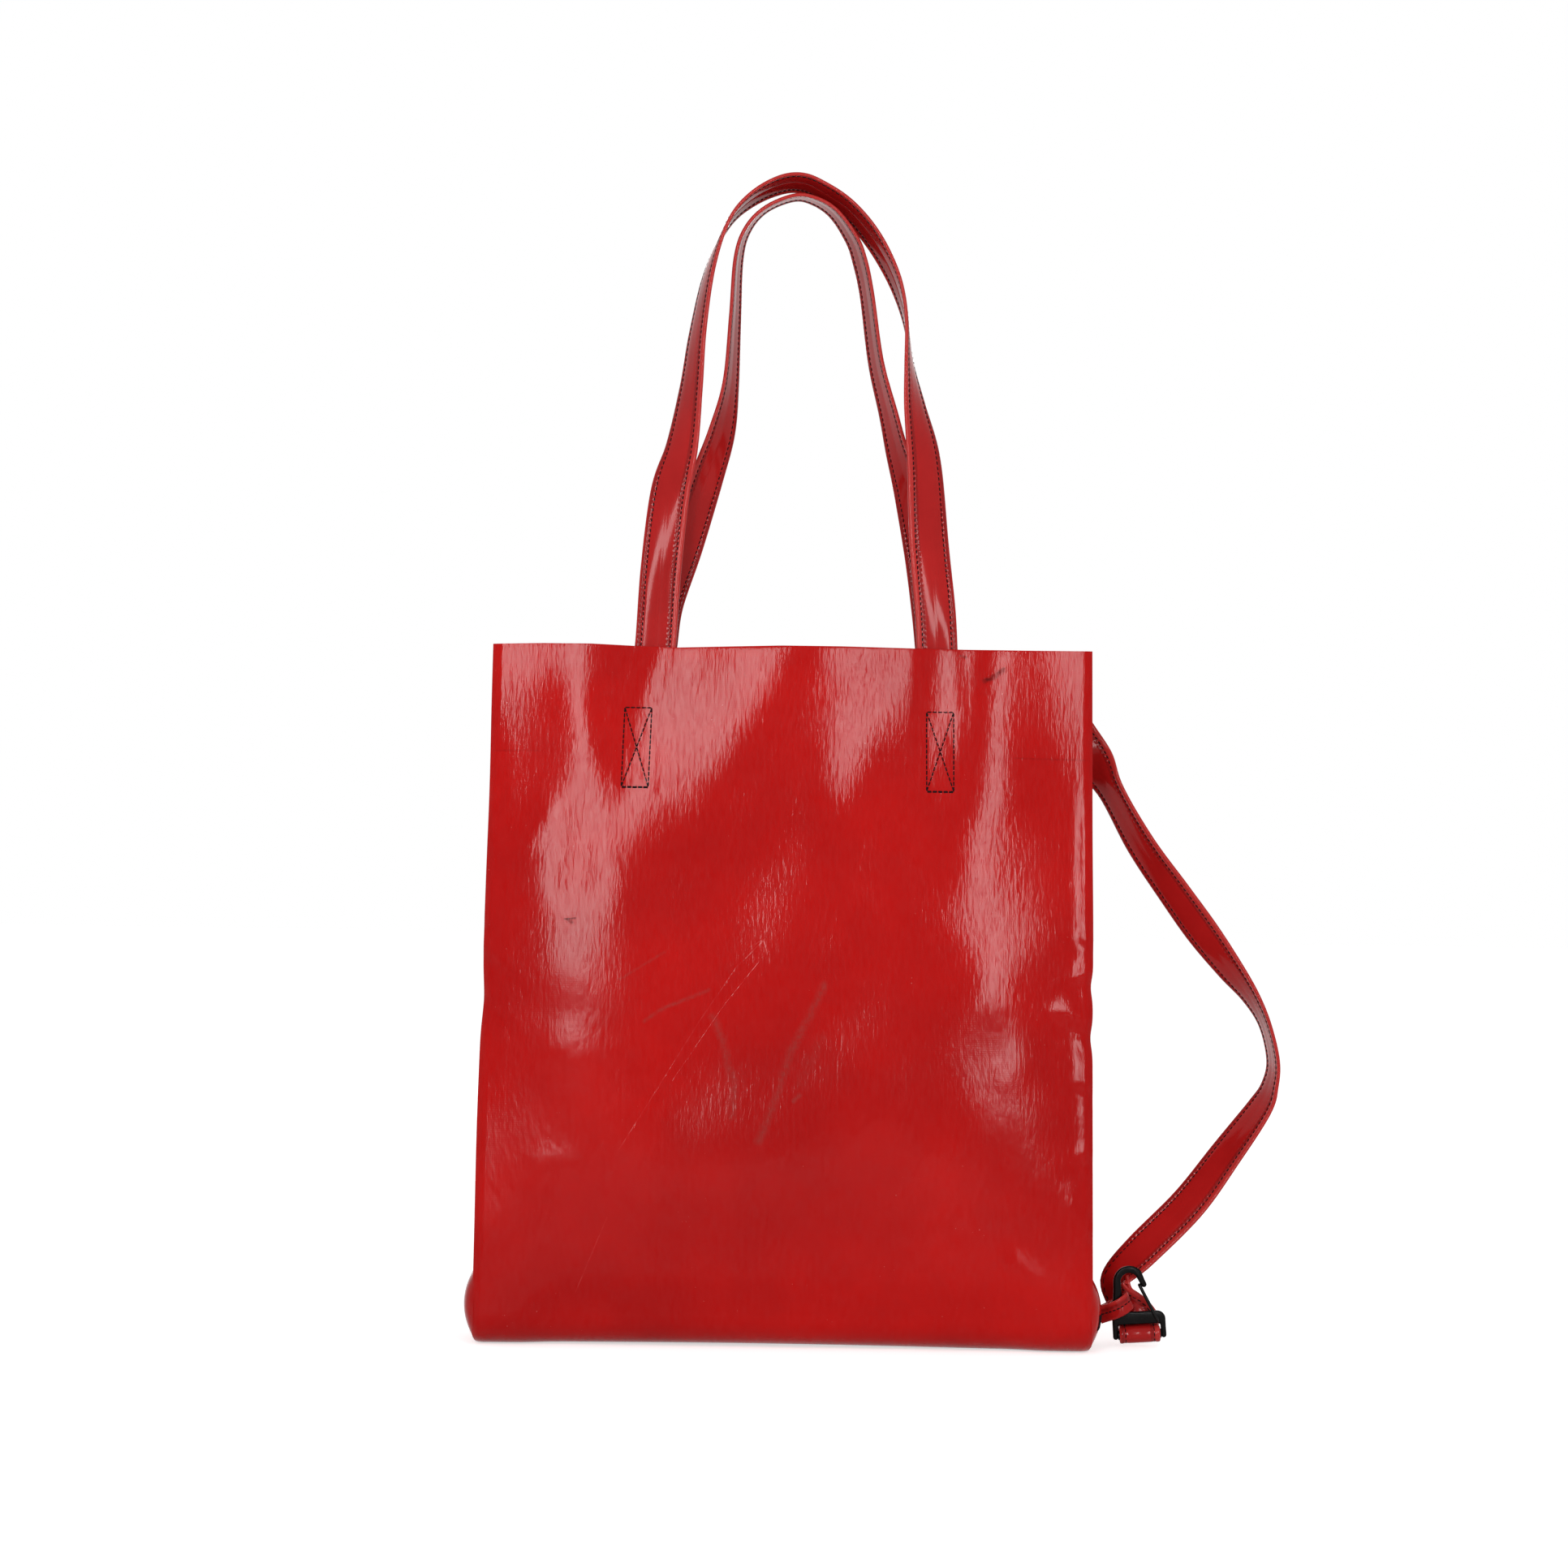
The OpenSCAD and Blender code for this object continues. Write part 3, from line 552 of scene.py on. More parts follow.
def sew_runs(name, surface, runs, side, settings):
    """Sews straight runs between corners that surface(x, z) puts on the cloth."""
    starts, ends = [], []
    for (x0, z0), (x1, z1) in runs:
        count = max(1, round(math.hypot(x1 - x0, z1 - z0) / settings.stitch_pitch))
        k = np.arange(count) + 0.5
        for sign, store in ((-0.5, starts), (0.5, ends)):
            t = (k + sign * BOX_STITCH) / count
            x, z = x0 + (x1 - x0) * t, z0 + (z1 - z0) * t
            store.append(np.column_stack([x, surface(x, z), z]))
    return sew(name, np.vstack(starts), np.vstack(ends), (0.0, side, 0.0), settings)


# ---- Materials ----------------------------------------------------------------------


class Nodes:
    """A tree of shader nodes, built step by step."""

    def __init__(self, owner, empty=False):
        owner.use_nodes = True
        self.tree = owner.node_tree
        if empty:
            self.tree.nodes.clear()

    def node(self, kind, values=(), **settings):
        n = self.tree.nodes.new(kind)
        for key, value in settings.items():
            setattr(n, key, value)
        for key, value in dict(values).items():
            if isinstance(value, bpy.types.NodeSocket):
                self.tree.links.new(value, n.inputs[key])
            else:
                n.inputs[key].default_value = value
        return n

    def out(self, kind, values=(), **settings):
        return self.node(kind, values, **settings).outputs[0]

    def maths(self, operation, a, b=0.0, clamp=False):
        return self.out("ShaderNodeMath", {0: a, 1: b}, operation=operation, use_clamp=clamp)

    def times(self, a, b):
        return self.maths("MULTIPLY", a, b)

    def plus(self, a, b):
        return self.maths("ADD", a, b)

    def minus(self, a, b):
        return self.maths("SUBTRACT", a, b)

    def highest(self, values):
        top = values[0]
        for value in values[1:]:
            top = self.maths("MAXIMUM", top, value)
        return top

    def shown(self, kind, plain, white):
        """Sends plain light to the object, and white to rays that show the background."""
        rays = self.node("ShaderNodeLightPath").outputs
        seen = self.highest([rays["Is Camera Ray"], rays["Is Glossy Ray"],
                             rays["Is Transmission Ray"]])
        self.node(kind, {0: self.out("ShaderNodeMixShader", {0: seen, 1: plain, 2: white})})


class Look(Nodes):
    """A finish of the bag: a principled shader and the patterns that feed it."""

    def __init__(self, name, colour, rough, gloss):
        self.material = bpy.data.materials.new(name)
        super().__init__(self.material)
        self.rough = rough
        self.shader = self.tree.nodes["Principled BSDF"]
        for socket, value in (("Base Color", (*colour, 1)), ("Roughness", rough),
                              ("Specular IOR Level", gloss)):
            self.shader.inputs[socket].default_value = value
        self.material.diffuse_color = (*colour, 1)
        self.place = self.node("ShaderNodeTexCoord").outputs["Object"]

    def plug(self, socket, value):
        self.tree.links.new(value, self.shader.inputs[socket])

    def cloth(self):
        """The flat cloth's own place, from the piece's UV map."""
        return self.out("ShaderNodeUVMap", uv_map="cloth")

    def noise(self, vector, scale, detail=2.0, rough=0.5, warp=0.0):
        return self.out("ShaderNodeTexNoise", {"Vector": vector, "Scale": scale, "Detail": detail,
                                               "Roughness": rough, "Distortion": warp})

    def flecks(self, cloth, pitch, wide, long, detail=2.0, rough=0.6):
        """Noise drawn out along the cloth: its grain is wide and long in ribs."""
        drawn = self.out("ShaderNodeMapping", {"Vector": cloth,
                                               "Scale": (1 / pitch / wide, 1 / pitch / long, 1)})
        return self.noise(drawn, 1.0, detail, rough)

    def bands(self, vector, pitch, axis, warp=0.0, warp_scale=1.0):
        return self.node("ShaderNodeTexWave", {"Vector": vector, "Scale": math.pi / 10 / pitch,
                                               "Distortion": warp, "Detail": 1.0,
                                               "Detail Scale": warp_scale},
                         wave_type="BANDS", bands_direction=axis).outputs["Fac"]

    def span(self, value, low, high, to_low=0.0, to_high=1.0):
        return self.out("ShaderNodeMapRange", {"Value": value, "From Min": low, "From Max": high,
                                               "To Min": to_low, "To Max": to_high})

    def blend(self, factor, a, b):
        """Goes from colour a to colour b by a factor."""
        a, b = (c if isinstance(c, bpy.types.NodeSocket) else (*c, 1) for c in (a, b))
        return self.node("ShaderNodeMix", {0: factor, 6: a, 7: b}, data_type="RGBA").outputs[2]

    def emboss(self, height, distance, strength, under=None):
        values = {"Height": height, "Distance": distance, "Strength": strength}
        if under is not None:
            values["Normal"] = under
        return self.out("ShaderNodeBump", values)

    def roughen(self, noise, low, high, least, most):
        """Varies the roughness by a noise, between two shares of its plain value."""
        self.plug("Roughness", self.span(noise, low, high, self.rough * least, self.rough * most))

    def near_line(self, x, z, ends, core, fade):
        """1 on a line between two points of the object's x and z, falling to 0 at fade."""
        (x0, z0), (x1, z1) = ends
        span = (x1 - x0) ** 2 + (z1 - z0) ** 2
        rx, rz = self.minus(x, x0), self.minus(z, z0)
        along = self.maths("ADD", self.times(rx, (x1 - x0) / span),
                           self.times(rz, (z1 - z0) / span), clamp=True)
        dx = self.minus(rx, self.times(along, x1 - x0))
        dz = self.minus(rz, self.times(along, z1 - z0))
        away = self.maths("SQRT", self.plus(self.times(dx, dx), self.times(dz, dz)))
        return self.span(away, fade, core)


def scaled(colour, *shares):
    return tuple(min(1, c * share) for c, share in zip(colour, shares))


def ribbed_height(look, cloth, pitch, streaked):
    """Woven ribs under a glossy coat: fine ridges along the cloth, broken into dashes."""
    ribs = look.bands(cloth, pitch, "X", warp=2.2, warp_scale=0.6)
    height = look.plus(look.times(ribs, 0.12), look.times(look.flecks(cloth, pitch, 1.3, 6), 0.4))
    return look.plus(height, look.times(look.flecks(cloth, pitch, 2.1, 9), streaked))


# Tones of the marks; the dark one serves real smudges and nicks, and also painted shade along the
# hem's edge
GREYED, SOOT_AND_SHADE = (0.24, 0.052, 0.045), (0.06, 0.01, 0.01)
SPECK, SCRATCHED = (0.56, 0.14, 0.13), (0.66, 0.09, 0.085)
# Rubbed marks on the front, and painted shade along the hem's edge near both sides (the last two):
# line of x, z in metres, inner and outer half width, strength, tone
SCUFFS = (
    (((-0.0434, 0.1957), (-0.0375, 0.1823), (-0.035, 0.1688), (-0.0304, 0.1564), (-0.0319, 0.1377)),
     0.0001, 0.0036, 0.34, GREYED),
    (((0.0218, 0.2153), (0.0122, 0.1944), (0.0026, 0.1766), (-0.0049, 0.1506), (-0.0159, 0.1234)),
     0.0001, 0.0036, 0.4, GREYED),
    (((0.0211, 0.1847), (0.0135, 0.1706), (0.0085, 0.157)), 0.0001, 0.0046, 0.15, GREYED),
    (((0.0086, 0.1508), (0.005, 0.1471)), 0.0002, 0.0019, 0.5, GREYED),
    (((-0.0848, 0.1924), (-0.0721, 0.2009), (-0.0466, 0.2117)), 0.0001, 0.0017, 0.38, GREYED),
    (((-0.0998, 0.217), (-0.0725, 0.2338)), 0.0001, 0.0012, 0.28, GREYED),
    (((-0.1326, 0.2522), (-0.1257, 0.2528)), 0.0002, 0.0007, 0.9, SOOT_AND_SHADE),
    (((-0.1305, 0.2513), (-0.1284, 0.2505)), 0.0005, 0.0017, 0.55, SOOT_AND_SHADE),
    (((0.1145, 0.3972), (0.1205, 0.4), (0.1255, 0.4038)), 0.0005, 0.0021, 0.75, SOOT_AND_SHADE),
    (((0.1003, 0.4118), (0.1025, 0.411)), 0.0003, 0.0011, 0.7, SOOT_AND_SHADE),
    # the next two are painted shade along the step at the hem's edge, near both sides
    (((-0.1765, 0.3512), (-0.15, 0.3516)), 0.0001, 0.0008, 0.22, SOOT_AND_SHADE),
    (((0.132, 0.3514), (0.1765, 0.3508)), 0.0001, 0.0008, 0.3, SOOT_AND_SHADE),
)
# Fine scratches: line of x, z in metres, outer half width, strength
SCRATCHES = (
    (((-0.0139, 0.2424), (-0.0308, 0.225), (-0.0522, 0.1925), (-0.0978, 0.1172)), 0.00042, 0.24),
    (((-0.0128, 0.2346), (-0.0378, 0.2026), (-0.0673, 0.158)), 0.0004, 0.11),
    (((-0.0227, 0.2376), (-0.015, 0.2418), (-0.0125, 0.2336)), 0.0006, 0.16),
    (((-0.1044, 0.0768), (-0.1222, 0.0326)), 0.0004, 0.25),
)


def marked(look, colour, shine):
    """The front's rubbed marks, scratches and painted shade along the hem's edge: its colour, its
    shine and where it is scratched.
    """
    split = look.node("ShaderNodeSeparateXYZ", {"Vector": look.place}).outputs
    x, z = split["X"], split["Z"]
    wobble = look.times(look.minus(look.noise(look.place, 90.0), 0.5), 0.003)
    ruffled = look.span(look.noise(look.place, 420.0, 3.0, 0.7), 0.36, 0.62, 0.3, 1.0)
    scuff_x = look.plus(x, wobble)
    for points, core, fade, amount, tone in SCUFFS:
        mask = look.highest([look.near_line(scuff_x, z, ends, core, fade)
                             for ends in zip(points[:-1], points[1:])])
        mask = look.times(look.times(mask, amount), ruffled)
        colour = look.blend(mask, colour, tone)
        # dark marks lose shine, and so does the painted shade along the hem's edge
        if tone is SOOT_AND_SHADE:
            shine = look.times(shine, look.minus(1.0, mask))
    broken = look.span(look.noise(look.place, 150.0), 0.42, 0.56, 0.25, 1.0)
    scratches = []
    for points, fade, amount in SCRATCHES:
        for ends in zip(points[:-1], points[1:]):
            line = look.times(look.near_line(x, z, ends, 0.00005, fade), broken)
            colour = look.blend(look.times(line, amount), colour, SCRATCHED)
            scratches.append(line)
    return colour, shine, look.highest(scratches)


def tarpaulin(name, settings, marks=False):
    base, gloss = settings.tarpaulin_colour, settings.tarpaulin_gloss
    look = Look(name, base, settings.tarpaulin_roughness, gloss)
    place, cloth, pitch = look.place, look.cloth(), settings.rib_pitch
    deep, warm = scaled(base, 0.82, 0.75, 0.75), scaled(base, 1.08, 1.6, 1.2)
    cloudy = look.noise(place, 9.0, 3.0, 0.55)
    colour = look.blend(look.span(cloudy, 0.35, 0.68), deep, warm)
    grain = look.noise(place, 160.0, 3.0, 0.6)
    colour = look.blend(look.span(grain, 0.3, 0.75, 0.0, 0.22), colour, deep)
    specks = look.span(look.noise(place, 620.0, 1.0), 0.775, 0.81)
    sparse = look.span(look.noise(place, 31.0, 1.0), 0.56, 0.62)
    colour = look.blend(look.times(specks, sparse), colour, SPECK)
    # the coat shines less between the ribs
    shine = look.span(look.flecks(cloth, pitch, 1.9, 8, 3.0, 0.65), 0.28, 0.72, gloss * 0.68,
                      gloss * 1.32)
    soft = look.emboss(look.noise(place, 34.0, 3.0, 0.55, 0.4), 0.0011, settings.crinkle)
    if marks:
        colour, shine, scratched = marked(look, colour, shine)
        soft = look.emboss(look.times(scratched, -1.0), 0.00008, 0.3, soft)
    look.plug("Base Color", colour)
    look.plug("Specular IOR Level", shine)
    look.roughen(look.noise(place, 14.0, 4.0, 0.6), 0.3, 0.75, 0.85, 1.35)
    # the cross threads show only in patches
    cross = look.bands(cloth, pitch * 1.15, "Y", warp=2.0, warp_scale=0.6)
    patch = look.span(look.noise(cloth, 24.0), 0.45, 0.65)
    weave = look.plus(ribbed_height(look, cloth, pitch, 3.6),
                      look.times(look.times(cross, patch), 0.25))
    look.plug("Normal", look.emboss(weave, 0.00009, settings.rib_depth, soft))
    return look.material


def strapping(name, settings):
    red, green, blue = settings.tarpaulin_colour
    look = Look(name, settings.tarpaulin_colour, settings.tarpaulin_roughness,
                settings.tarpaulin_gloss)
    base = (red * 0.95, green + 0.011, blue + 0.011)
    deep, worn = scaled(base, 0.8, 0.7, 0.7), (min(1, base[0] * 1.2), 0.045, 0.04)
    place, cloth = look.place, look.cloth()
    colour = look.blend(look.span(look.noise(place, 22.0, 3.0), 0.35, 0.7), deep, base)
    across = look.node("ShaderNodeSeparateXYZ", {"Vector": cloth}).outputs["X"]
    # the same pattern on both faces: the distance from a folded edge
    turn = (STRAP_W + STRAP_T * 0.3) * MM
    from_edge = look.maths("PINGPONG", across, turn / 2)
    fold = look.span(from_edge, 0.0030, 0.0012)
    colour = look.blend(look.times(fold, 0.55), colour, worn)
    # painted shade: the grooves that the two long rows of stitches lie in are darkened
    row = look.span(look.maths("ABSOLUTE", look.minus(from_edge, 0.0037)), 0.0013, 0.0004)
    colour = look.blend(look.times(row, 0.5), colour, (0.13, 0.008, 0.008))
    look.plug("Base Color", colour)
    look.roughen(look.noise(place, 30.0, 4.0, 0.6), 0.3, 0.7, 0.8, 1.5)
    soft = look.emboss(look.noise(place, 60.0), 0.0006, 0.22)
    puckers = look.times(row, look.bands(cloth, settings.stitch_pitch * MM, "Y"))
    soft = look.emboss(puckers, 0.00018, 0.8, soft)
    ribs = ribbed_height(look, cloth, settings.rib_pitch, 0.5)
    look.plug("Normal", look.emboss(ribs, 0.00004, settings.rib_depth, soft))
    return look.material


def thread_look(name, settings):
    colour = settings.thread_colour
    look = Look(name, colour, 0.7, 0.04)
    dust = look.span(look.noise(look.place, 900.0), 0.4, 0.7, 0.0, 0.8)
    look.plug("Base Color", look.blend(dust, colour, scaled(colour, 2.2, 2.2, 2.2)))
    plies = look.node("ShaderNodeTexWave", {"Vector": look.place, "Scale": 900.0,
                                            "Distortion": 0.6},
                      wave_type="BANDS", bands_direction="DIAGONAL").outputs["Fac"]
    look.plug("Normal", look.emboss(plies, 0.00006, 0.6))
    return look.material


def moulded_black(name, settings, rough=0.22, gloss=0.07):
    base = settings.hook_colour
    look = Look(name, base, rough, gloss)
    scuffed = tuple(min(1, c * 2.5 + 0.006) for c in base)
    rub = look.span(look.noise(look.place, 260.0, 4.0, 0.65), 0.58, 0.76)
    look.plug("Base Color", look.blend(look.times(rub, 0.5), base, scuffed))
    look.roughen(look.noise(look.place, 180.0, 3.0), 0.3, 0.7, 0.8, 1.3)
    look.plug("Normal", look.emboss(look.noise(look.place, 1500.0), 0.00002, 0.4))
    return look.material


_looks = {}


def look_for(key, settings):
    """Makes each material once, however many pieces wear it."""
    makers = {"panel": lambda: tarpaulin("tarpaulin_front", settings, marks=True),
              "tarpaulin": lambda: tarpaulin("tarpaulin", settings),
              "strapping": lambda: strapping("strapping", settings),
              "thread": lambda: thread_look("thread", settings),
              "hook_black": lambda: moulded_black("hook_black", settings),
              "wire_black": lambda: moulded_black("wire_black", settings, 0.24, 0.14)}
    if key not in _looks:
        _looks[key] = makers[key]()
    return _looks[key]


def dress(obj, key, settings):
    obj.data.materials.clear()
    obj.data.materials.append(look_for(key, settings))


# ---- Pieces ---------------------------------------------------------------------------


def towards_edges(u):
    """Columns from -1 to 1, closer near the two side edges."""
    k = 2 * u - 1
    return np.sign(k) * (1 - (1 - np.abs(k)) ** 1.25)


def panel_sheet(name, side, settings):
    """One panel from the base, round the roll, up to the rim and down as the hem."""
    wall_l, roll_l = BAG_H - ROLL_R, math.pi / 2 * ROLL_R
    fold_r = (HEM_OFF + WALL) / 2
    fold_l = math.pi * fold_r
    rim_at = roll_l + wall_l
    hem_at = rim_at + fold_l
    total = hem_at + HEM_H
    hem_inset, waves_from, lifted_below = 8.0, 300, 60

    def place(u, v):
        s, k = v * total, towards_edges(u)
        on_roll, on_fold = s < roll_l, (s >= rim_at) & (s < hem_at)
        t = np.clip(1 - s / roll_l, 0, 1) * math.pi / 2
        z = np.where(on_roll, ROLL_R - ROLL_R * np.sin(t), ROLL_R + np.clip(s - roll_l, 0, wall_l))
        z = np.where(s > hem_at, BAG_H - np.clip(s - hem_at, 0, HEM_H), z)
        over = np.clip((s - rim_at) / fold_l, 0, 1) * math.pi
        inner = s > rim_at + fold_l * 0.75
        x = k * (half_width(z) - np.where(inner, hem_inset, 0.0))
        skin = np.abs(panel_skin(x, np.maximum(z, ROLL_R), side))
        off = np.where(on_fold, fold_r * (1 - np.cos(over)), np.where(inner, 2 * fold_r, 0))
        y = np.where(on_roll, skin - ROLL_R * (1 - np.cos(t)), skin) - off
        z = z + np.where(on_fold, 0.75 * fold_r * np.sin(over), 0)
        z = z + rim_lift(x, side) * smooth((z - waves_from) / (BAG_H - waves_from))
        lift = base_lift(x) * smooth((lifted_below - z) / lifted_below)
        z = z + np.where(s < rim_at, lift, 0)
        x = x + side_wave(x, z) * np.abs(k) ** 6 - np.sign(k) * corner_in(z) * np.abs(k) ** 12
        return np.column_stack([x, side * y, z])

    fine = settings.panel_detail
    obj = shaped_grid(name, fine, round(fine * 1.35), place,
                      lambda u, v: (towards_edges(u) * BASE_W / 2, v * total))
    return give_wall(obj, (0.0, side, 0.0))


GUSSET_FOOT = 1.3


def gusset_reach(z):
    """Half the depth of the folded side."""
    across = (ROLL_R - GUSSET_FOOT) ** 2 - (ROLL_R - np.minimum(z, ROLL_R)) ** 2
    low = half_depth(ROLL_R) - ROLL_R + np.sqrt(np.maximum(0, across))
    return np.where(z < ROLL_R, low, half_depth(z) - GUSSET_FOOT)


GUSSET_HALF = float(gusset_reach(np.array(LOBE_H)))


def gusset_skin(z, s):
    """How far out the folded side lies; s runs from -1 in front to 1 behind."""
    reach, middle = gusset_reach(z), 1 - s * s
    fold = np.where(z < LOBE_H, 0, np.sqrt(np.maximum(0, GUSSET_HALF ** 2 - reach ** 2)))
    lobe = LOBE_OUT * np.sin(np.pi * np.clip((z - GUSSET_FOOT) / (LOBE_H - GUSSET_FOOT), 0, 1))
    share = 1 - np.sqrt(s * s + 0.008) + 0.045 * middle
    crumple = (1.1 * np.sin(z / 17 + 2.2 * s) + 0.6 * np.sin(z / 7.5 - 3 * s)) * middle
    crumple = crumple * smooth((z - 6) / 30) * smooth((BAG_H + 20 - z) / 60)
    pinch = -1.8 * bump_at(z, LOBE_H + 6, 9) * middle
    return (half_width(z) - 0.8 - corner_in(z) + lobe * (1 - s ** 8) - fold * share
            + 0.6 * crumple + pinch)


def gusset_rows(v):
    """Heights on the folded side, closer together at the base corners."""
    share = np.where(v < 0.3, v / 0.3 * 0.13, 0.13 + (v - 0.3) / 0.7 * 0.87)
    return GUSSET_FOOT + (BAG_H - GUSSET_FOOT) * share


def side_sheet(name, side):
    def place(u, v):
        s, z = 2 * u - 1, gusset_rows(v)
        reach = gusset_reach(z) - 1.4 * smooth((z - 20) / 30)
        x = gusset_skin(z, s) + side * side_wave(side * np.ones_like(z), z) * np.abs(s) ** 3
        return np.column_stack([side * x, s * reach, z])

    obj = shaped_grid(name, 56, 150, place,
                      lambda u, v: ((2 * u - 1) * GUSSET_HALF, gusset_rows(v)))
    return give_wall(obj, (side, 0.0, 0.0))


def base_sheet(name):
    half_x = half_width(0) - corner_in(0) - 0.6
    half_y = half_depth(ROLL_R) - ROLL_R + 3

    def place(u, v):
        x = (2 * u - 1) * half_x
        reach = half_y - np.maximum(0, foot_tuck(x, ROLL_R) - 3)
        y = (2 * v - 1) * reach
        lip = smooth((np.abs(y) - reach + 9) / 6) * 1.25
        ripple = 0.25 * np.sin(x / 29) * np.cos(y / 13) * (1 - np.abs(y) / half_y)
        return np.column_stack([x, y, 0.15 + base_lift(x) + lip + ripple])

    obj = shaped_grid(name, 110, 30, place,
                      lambda u, v: ((2 * u - 1) * half_x, (2 * v - 1) * half_y))
    return give_wall(obj, (0.0, 0.0, -1.0))


# How far a strap's long rows of stitches lie from its edge, and their height in the groove
EDGE_ROW, ROW_LIFT = 3.6, 0.62


def section(half, upper_middle, lower_middle):
    """A band's closed section, [across, lift], from a quarter of it and its two middle lifts."""
    upper = half + [(0.0, upper_middle)] + [(-a, b) for a, b in half[::-1]]
    lower = [(a, -b) for a, b in upper[::-1]]
    lower[len(lower) // 2] = (0.0, -lower_middle)
    return np.array(upper[:-1] + lower[:-1])


def strap_outline(seam):
    """A strap's section; seam 1 or -1 is the face with the middle seam."""
    w = STRAP_W / 2
    half = [(w, 0.0), (w - 0.1, 0.5), (w - 0.45, 0.88), (w - 1.1, 1.08), (w - 2.0, 1.04),
            (w - 2.9, 0.86), (w - EDGE_ROW, ROW_LIFT), (w - 4.3, 0.84), (w - 5.4, 0.96),
            (w - 8.0, 1.0), (0.9, 1.0), (0.35, 0.96)]
    return section(half, ROW_LIFT, 1.0) * (1, seam * STRAP_T / 2)


def sew_rows(name, ribbon, rows, settings):
    """Sews rows on a strap: [start, end, across at both, lift, face] for each."""
    starts, ends, normals = [], [], []
    for start, end, across, across_end, lift, face in rows:
        starts.append(ribbon.at(start, across, lift))
        ends.append(ribbon.at(end, across_end, lift))
        normals.append(face * ribbon.along(start, ribbon.face))
    return sew(name, np.vstack(starts), np.vstack(ends), np.vstack(normals), settings)


def long_rows(name, ribbon, settings, crown=0.0):
    """The two long rows of stitches of a strap, on both faces."""
    edge = STRAP_W / 2 - EDGE_ROW
    crown = np.broadcast_to(crown, len(ribbon.run)) * (edge / (STRAP_W / 2)) ** 2
    margin, slant, pitch = 2.0, 0.12, settings.stitch_pitch
    start = margin + np.arange(int((ribbon.run[-1] - 2 * margin) / pitch)) * pitch
    raised = np.interp(start, ribbon.run, crown)
    rows = [(start, start + pitch * 0.74, row * (edge - slant), row * (edge + slant),
             face * (ROW_LIFT + 0.12) + raised, face) for face in (-1, 1) for row in (-1, 1)]
    return sew_rows(name, ribbon, rows, settings)


def box_runs(x, lean):
    """The four sides, doubled at the foot, and the two diagonals of a stitched box."""
    top, foot = BAG_H - BOX_DROP, BAG_H - BOX_DROP - BOX_L
    lean = lean * BOX_L / SEWN_L
    a, b = (x - BOX_W / 2, top), (x + BOX_W / 2, top)
    c, d = (x + BOX_W / 2 + lean, foot), (x - BOX_W / 2 + lean, foot)
    second = [(p[0], p[1] - 0.45) for p in (d, c)]
    return [(a, b), (b, c), (c, d), second, (d, a), (a, c), (b, d)]


FACTOR = {"max": 1.0, "subtype": "FACTOR"}
COLOUR = {"min": 0.0, "max": 1.0, "size": 3, "subtype": "COLOR"}


class TOTE_PG_sizes(bpy.types.PropertyGroup):
    """Fine sizes that the finished pieces add to the solid model."""
    panel_detail: bpy.props.IntProperty(
        name="Panel detail", description="Columns of faces across a panel", default=150, min=40,
        max=180)
    stitch_pitch: bpy.props.FloatProperty(
        name="Stitch pitch", description="Distance from stitch to stitch, in millimetres",
        default=3.1, min=2.0, max=5.0)
    thread_thickness: bpy.props.FloatProperty(
        name="Thread thickness", description="Thickness of the sewing thread, in millimetres",
        default=0.8, min=0.3, max=1.0)
    rib_pitch: bpy.props.FloatProperty(
        name="Rib pitch", description="Distance between the woven ribs", default=0.00112,
        min=0.0005, max=0.003, precision=5, unit="LENGTH")
    rib_depth: bpy.props.FloatProperty(
        name="Rib depth", description="Strength of the woven ribs", default=0.3, min=0.0, **FACTOR)
    crinkle: bpy.props.FloatProperty(
        name="Crinkle", description="Strength of the small uneven dents", default=0.12, min=0.0,
        **FACTOR)


class TOTE_PG_colours(bpy.types.PropertyGroup):
    """Colours and finishes."""
    tarpaulin_colour: bpy.props.FloatVectorProperty(
        name="Tarpaulin", description="Colour of the coated cloth",
        default=(0.48, 0.0016, 0.0013), **COLOUR)
    tarpaulin_roughness: bpy.props.FloatProperty(
        name="Tarpaulin roughness", description="How blurred the coat's shine is", default=0.1,
        min=0.05, **FACTOR)
    tarpaulin_gloss: bpy.props.FloatProperty(
        name="Tarpaulin gloss", description="Strength of the coat's shine", default=0.11, min=0.0,
        **FACTOR)
    thread_colour: bpy.props.FloatVectorProperty(
        name="Thread", description="Colour of the sewing thread", default=(0.012, 0.005, 0.006),
        **COLOUR)
    hook_colour: bpy.props.FloatVectorProperty(
        name="Hook", description="Colour of the snap hook", default=(0.0042, 0.0034, 0.0034),
        **COLOUR)
    floor_colour: bpy.props.FloatVectorProperty(
        name="Floor", description="Colour of the floor", default=(0.86, 0.86, 0.86), **COLOUR)


class Settings:
    """Both property groups as one, for the makers above."""

    def __init__(self, scene):
        self.groups = (scene.tote_sizes, scene.tote_colours)

    def __getattr__(self, name):
        for group in self.__dict__["groups"]:
            if name in group.bl_rna.properties:
                value = getattr(group, name)
                return tuple(value) if hasattr(value, "__len__") else value
        raise AttributeError(name)


class ToteOperator:
    bl_options = {"REGISTER", "UNDO"}


# The two lamps in front: name, degrees round the bag, width and height in metres
FRONT_LAMPS = (("left", -11.9, 0.355, 1.424), ("right", 13.9, 0.263, 1.32))
LAMP_AWAY, LAMP_UP = 2.25, 0.921
# The sheen of the lamps is stronger than their light on dull things
LAMP_PARTS = (("soft", 9.5), ("sheen", 18.5))
# The lamp behind: height of its middle, distance, width, height and radiance
BACK_LAMP = {"middle": 1.2, "distance": 2.6, "wide": 0.9, "tall": 1.2, "radiance": 2.6}
LAMPS_AIM_AT = Vector((0, 0, 0.45))
CAMERA_SPOT, CAMERA_ROLL, LENS = (-0.004, -2.642, 0.334), -0.9, 101.3
# What the floor adds of its own where it is seen, and the world's light on the bag
FLOOR_WHITE, WORLD_LIGHT = 0.62, 0.5


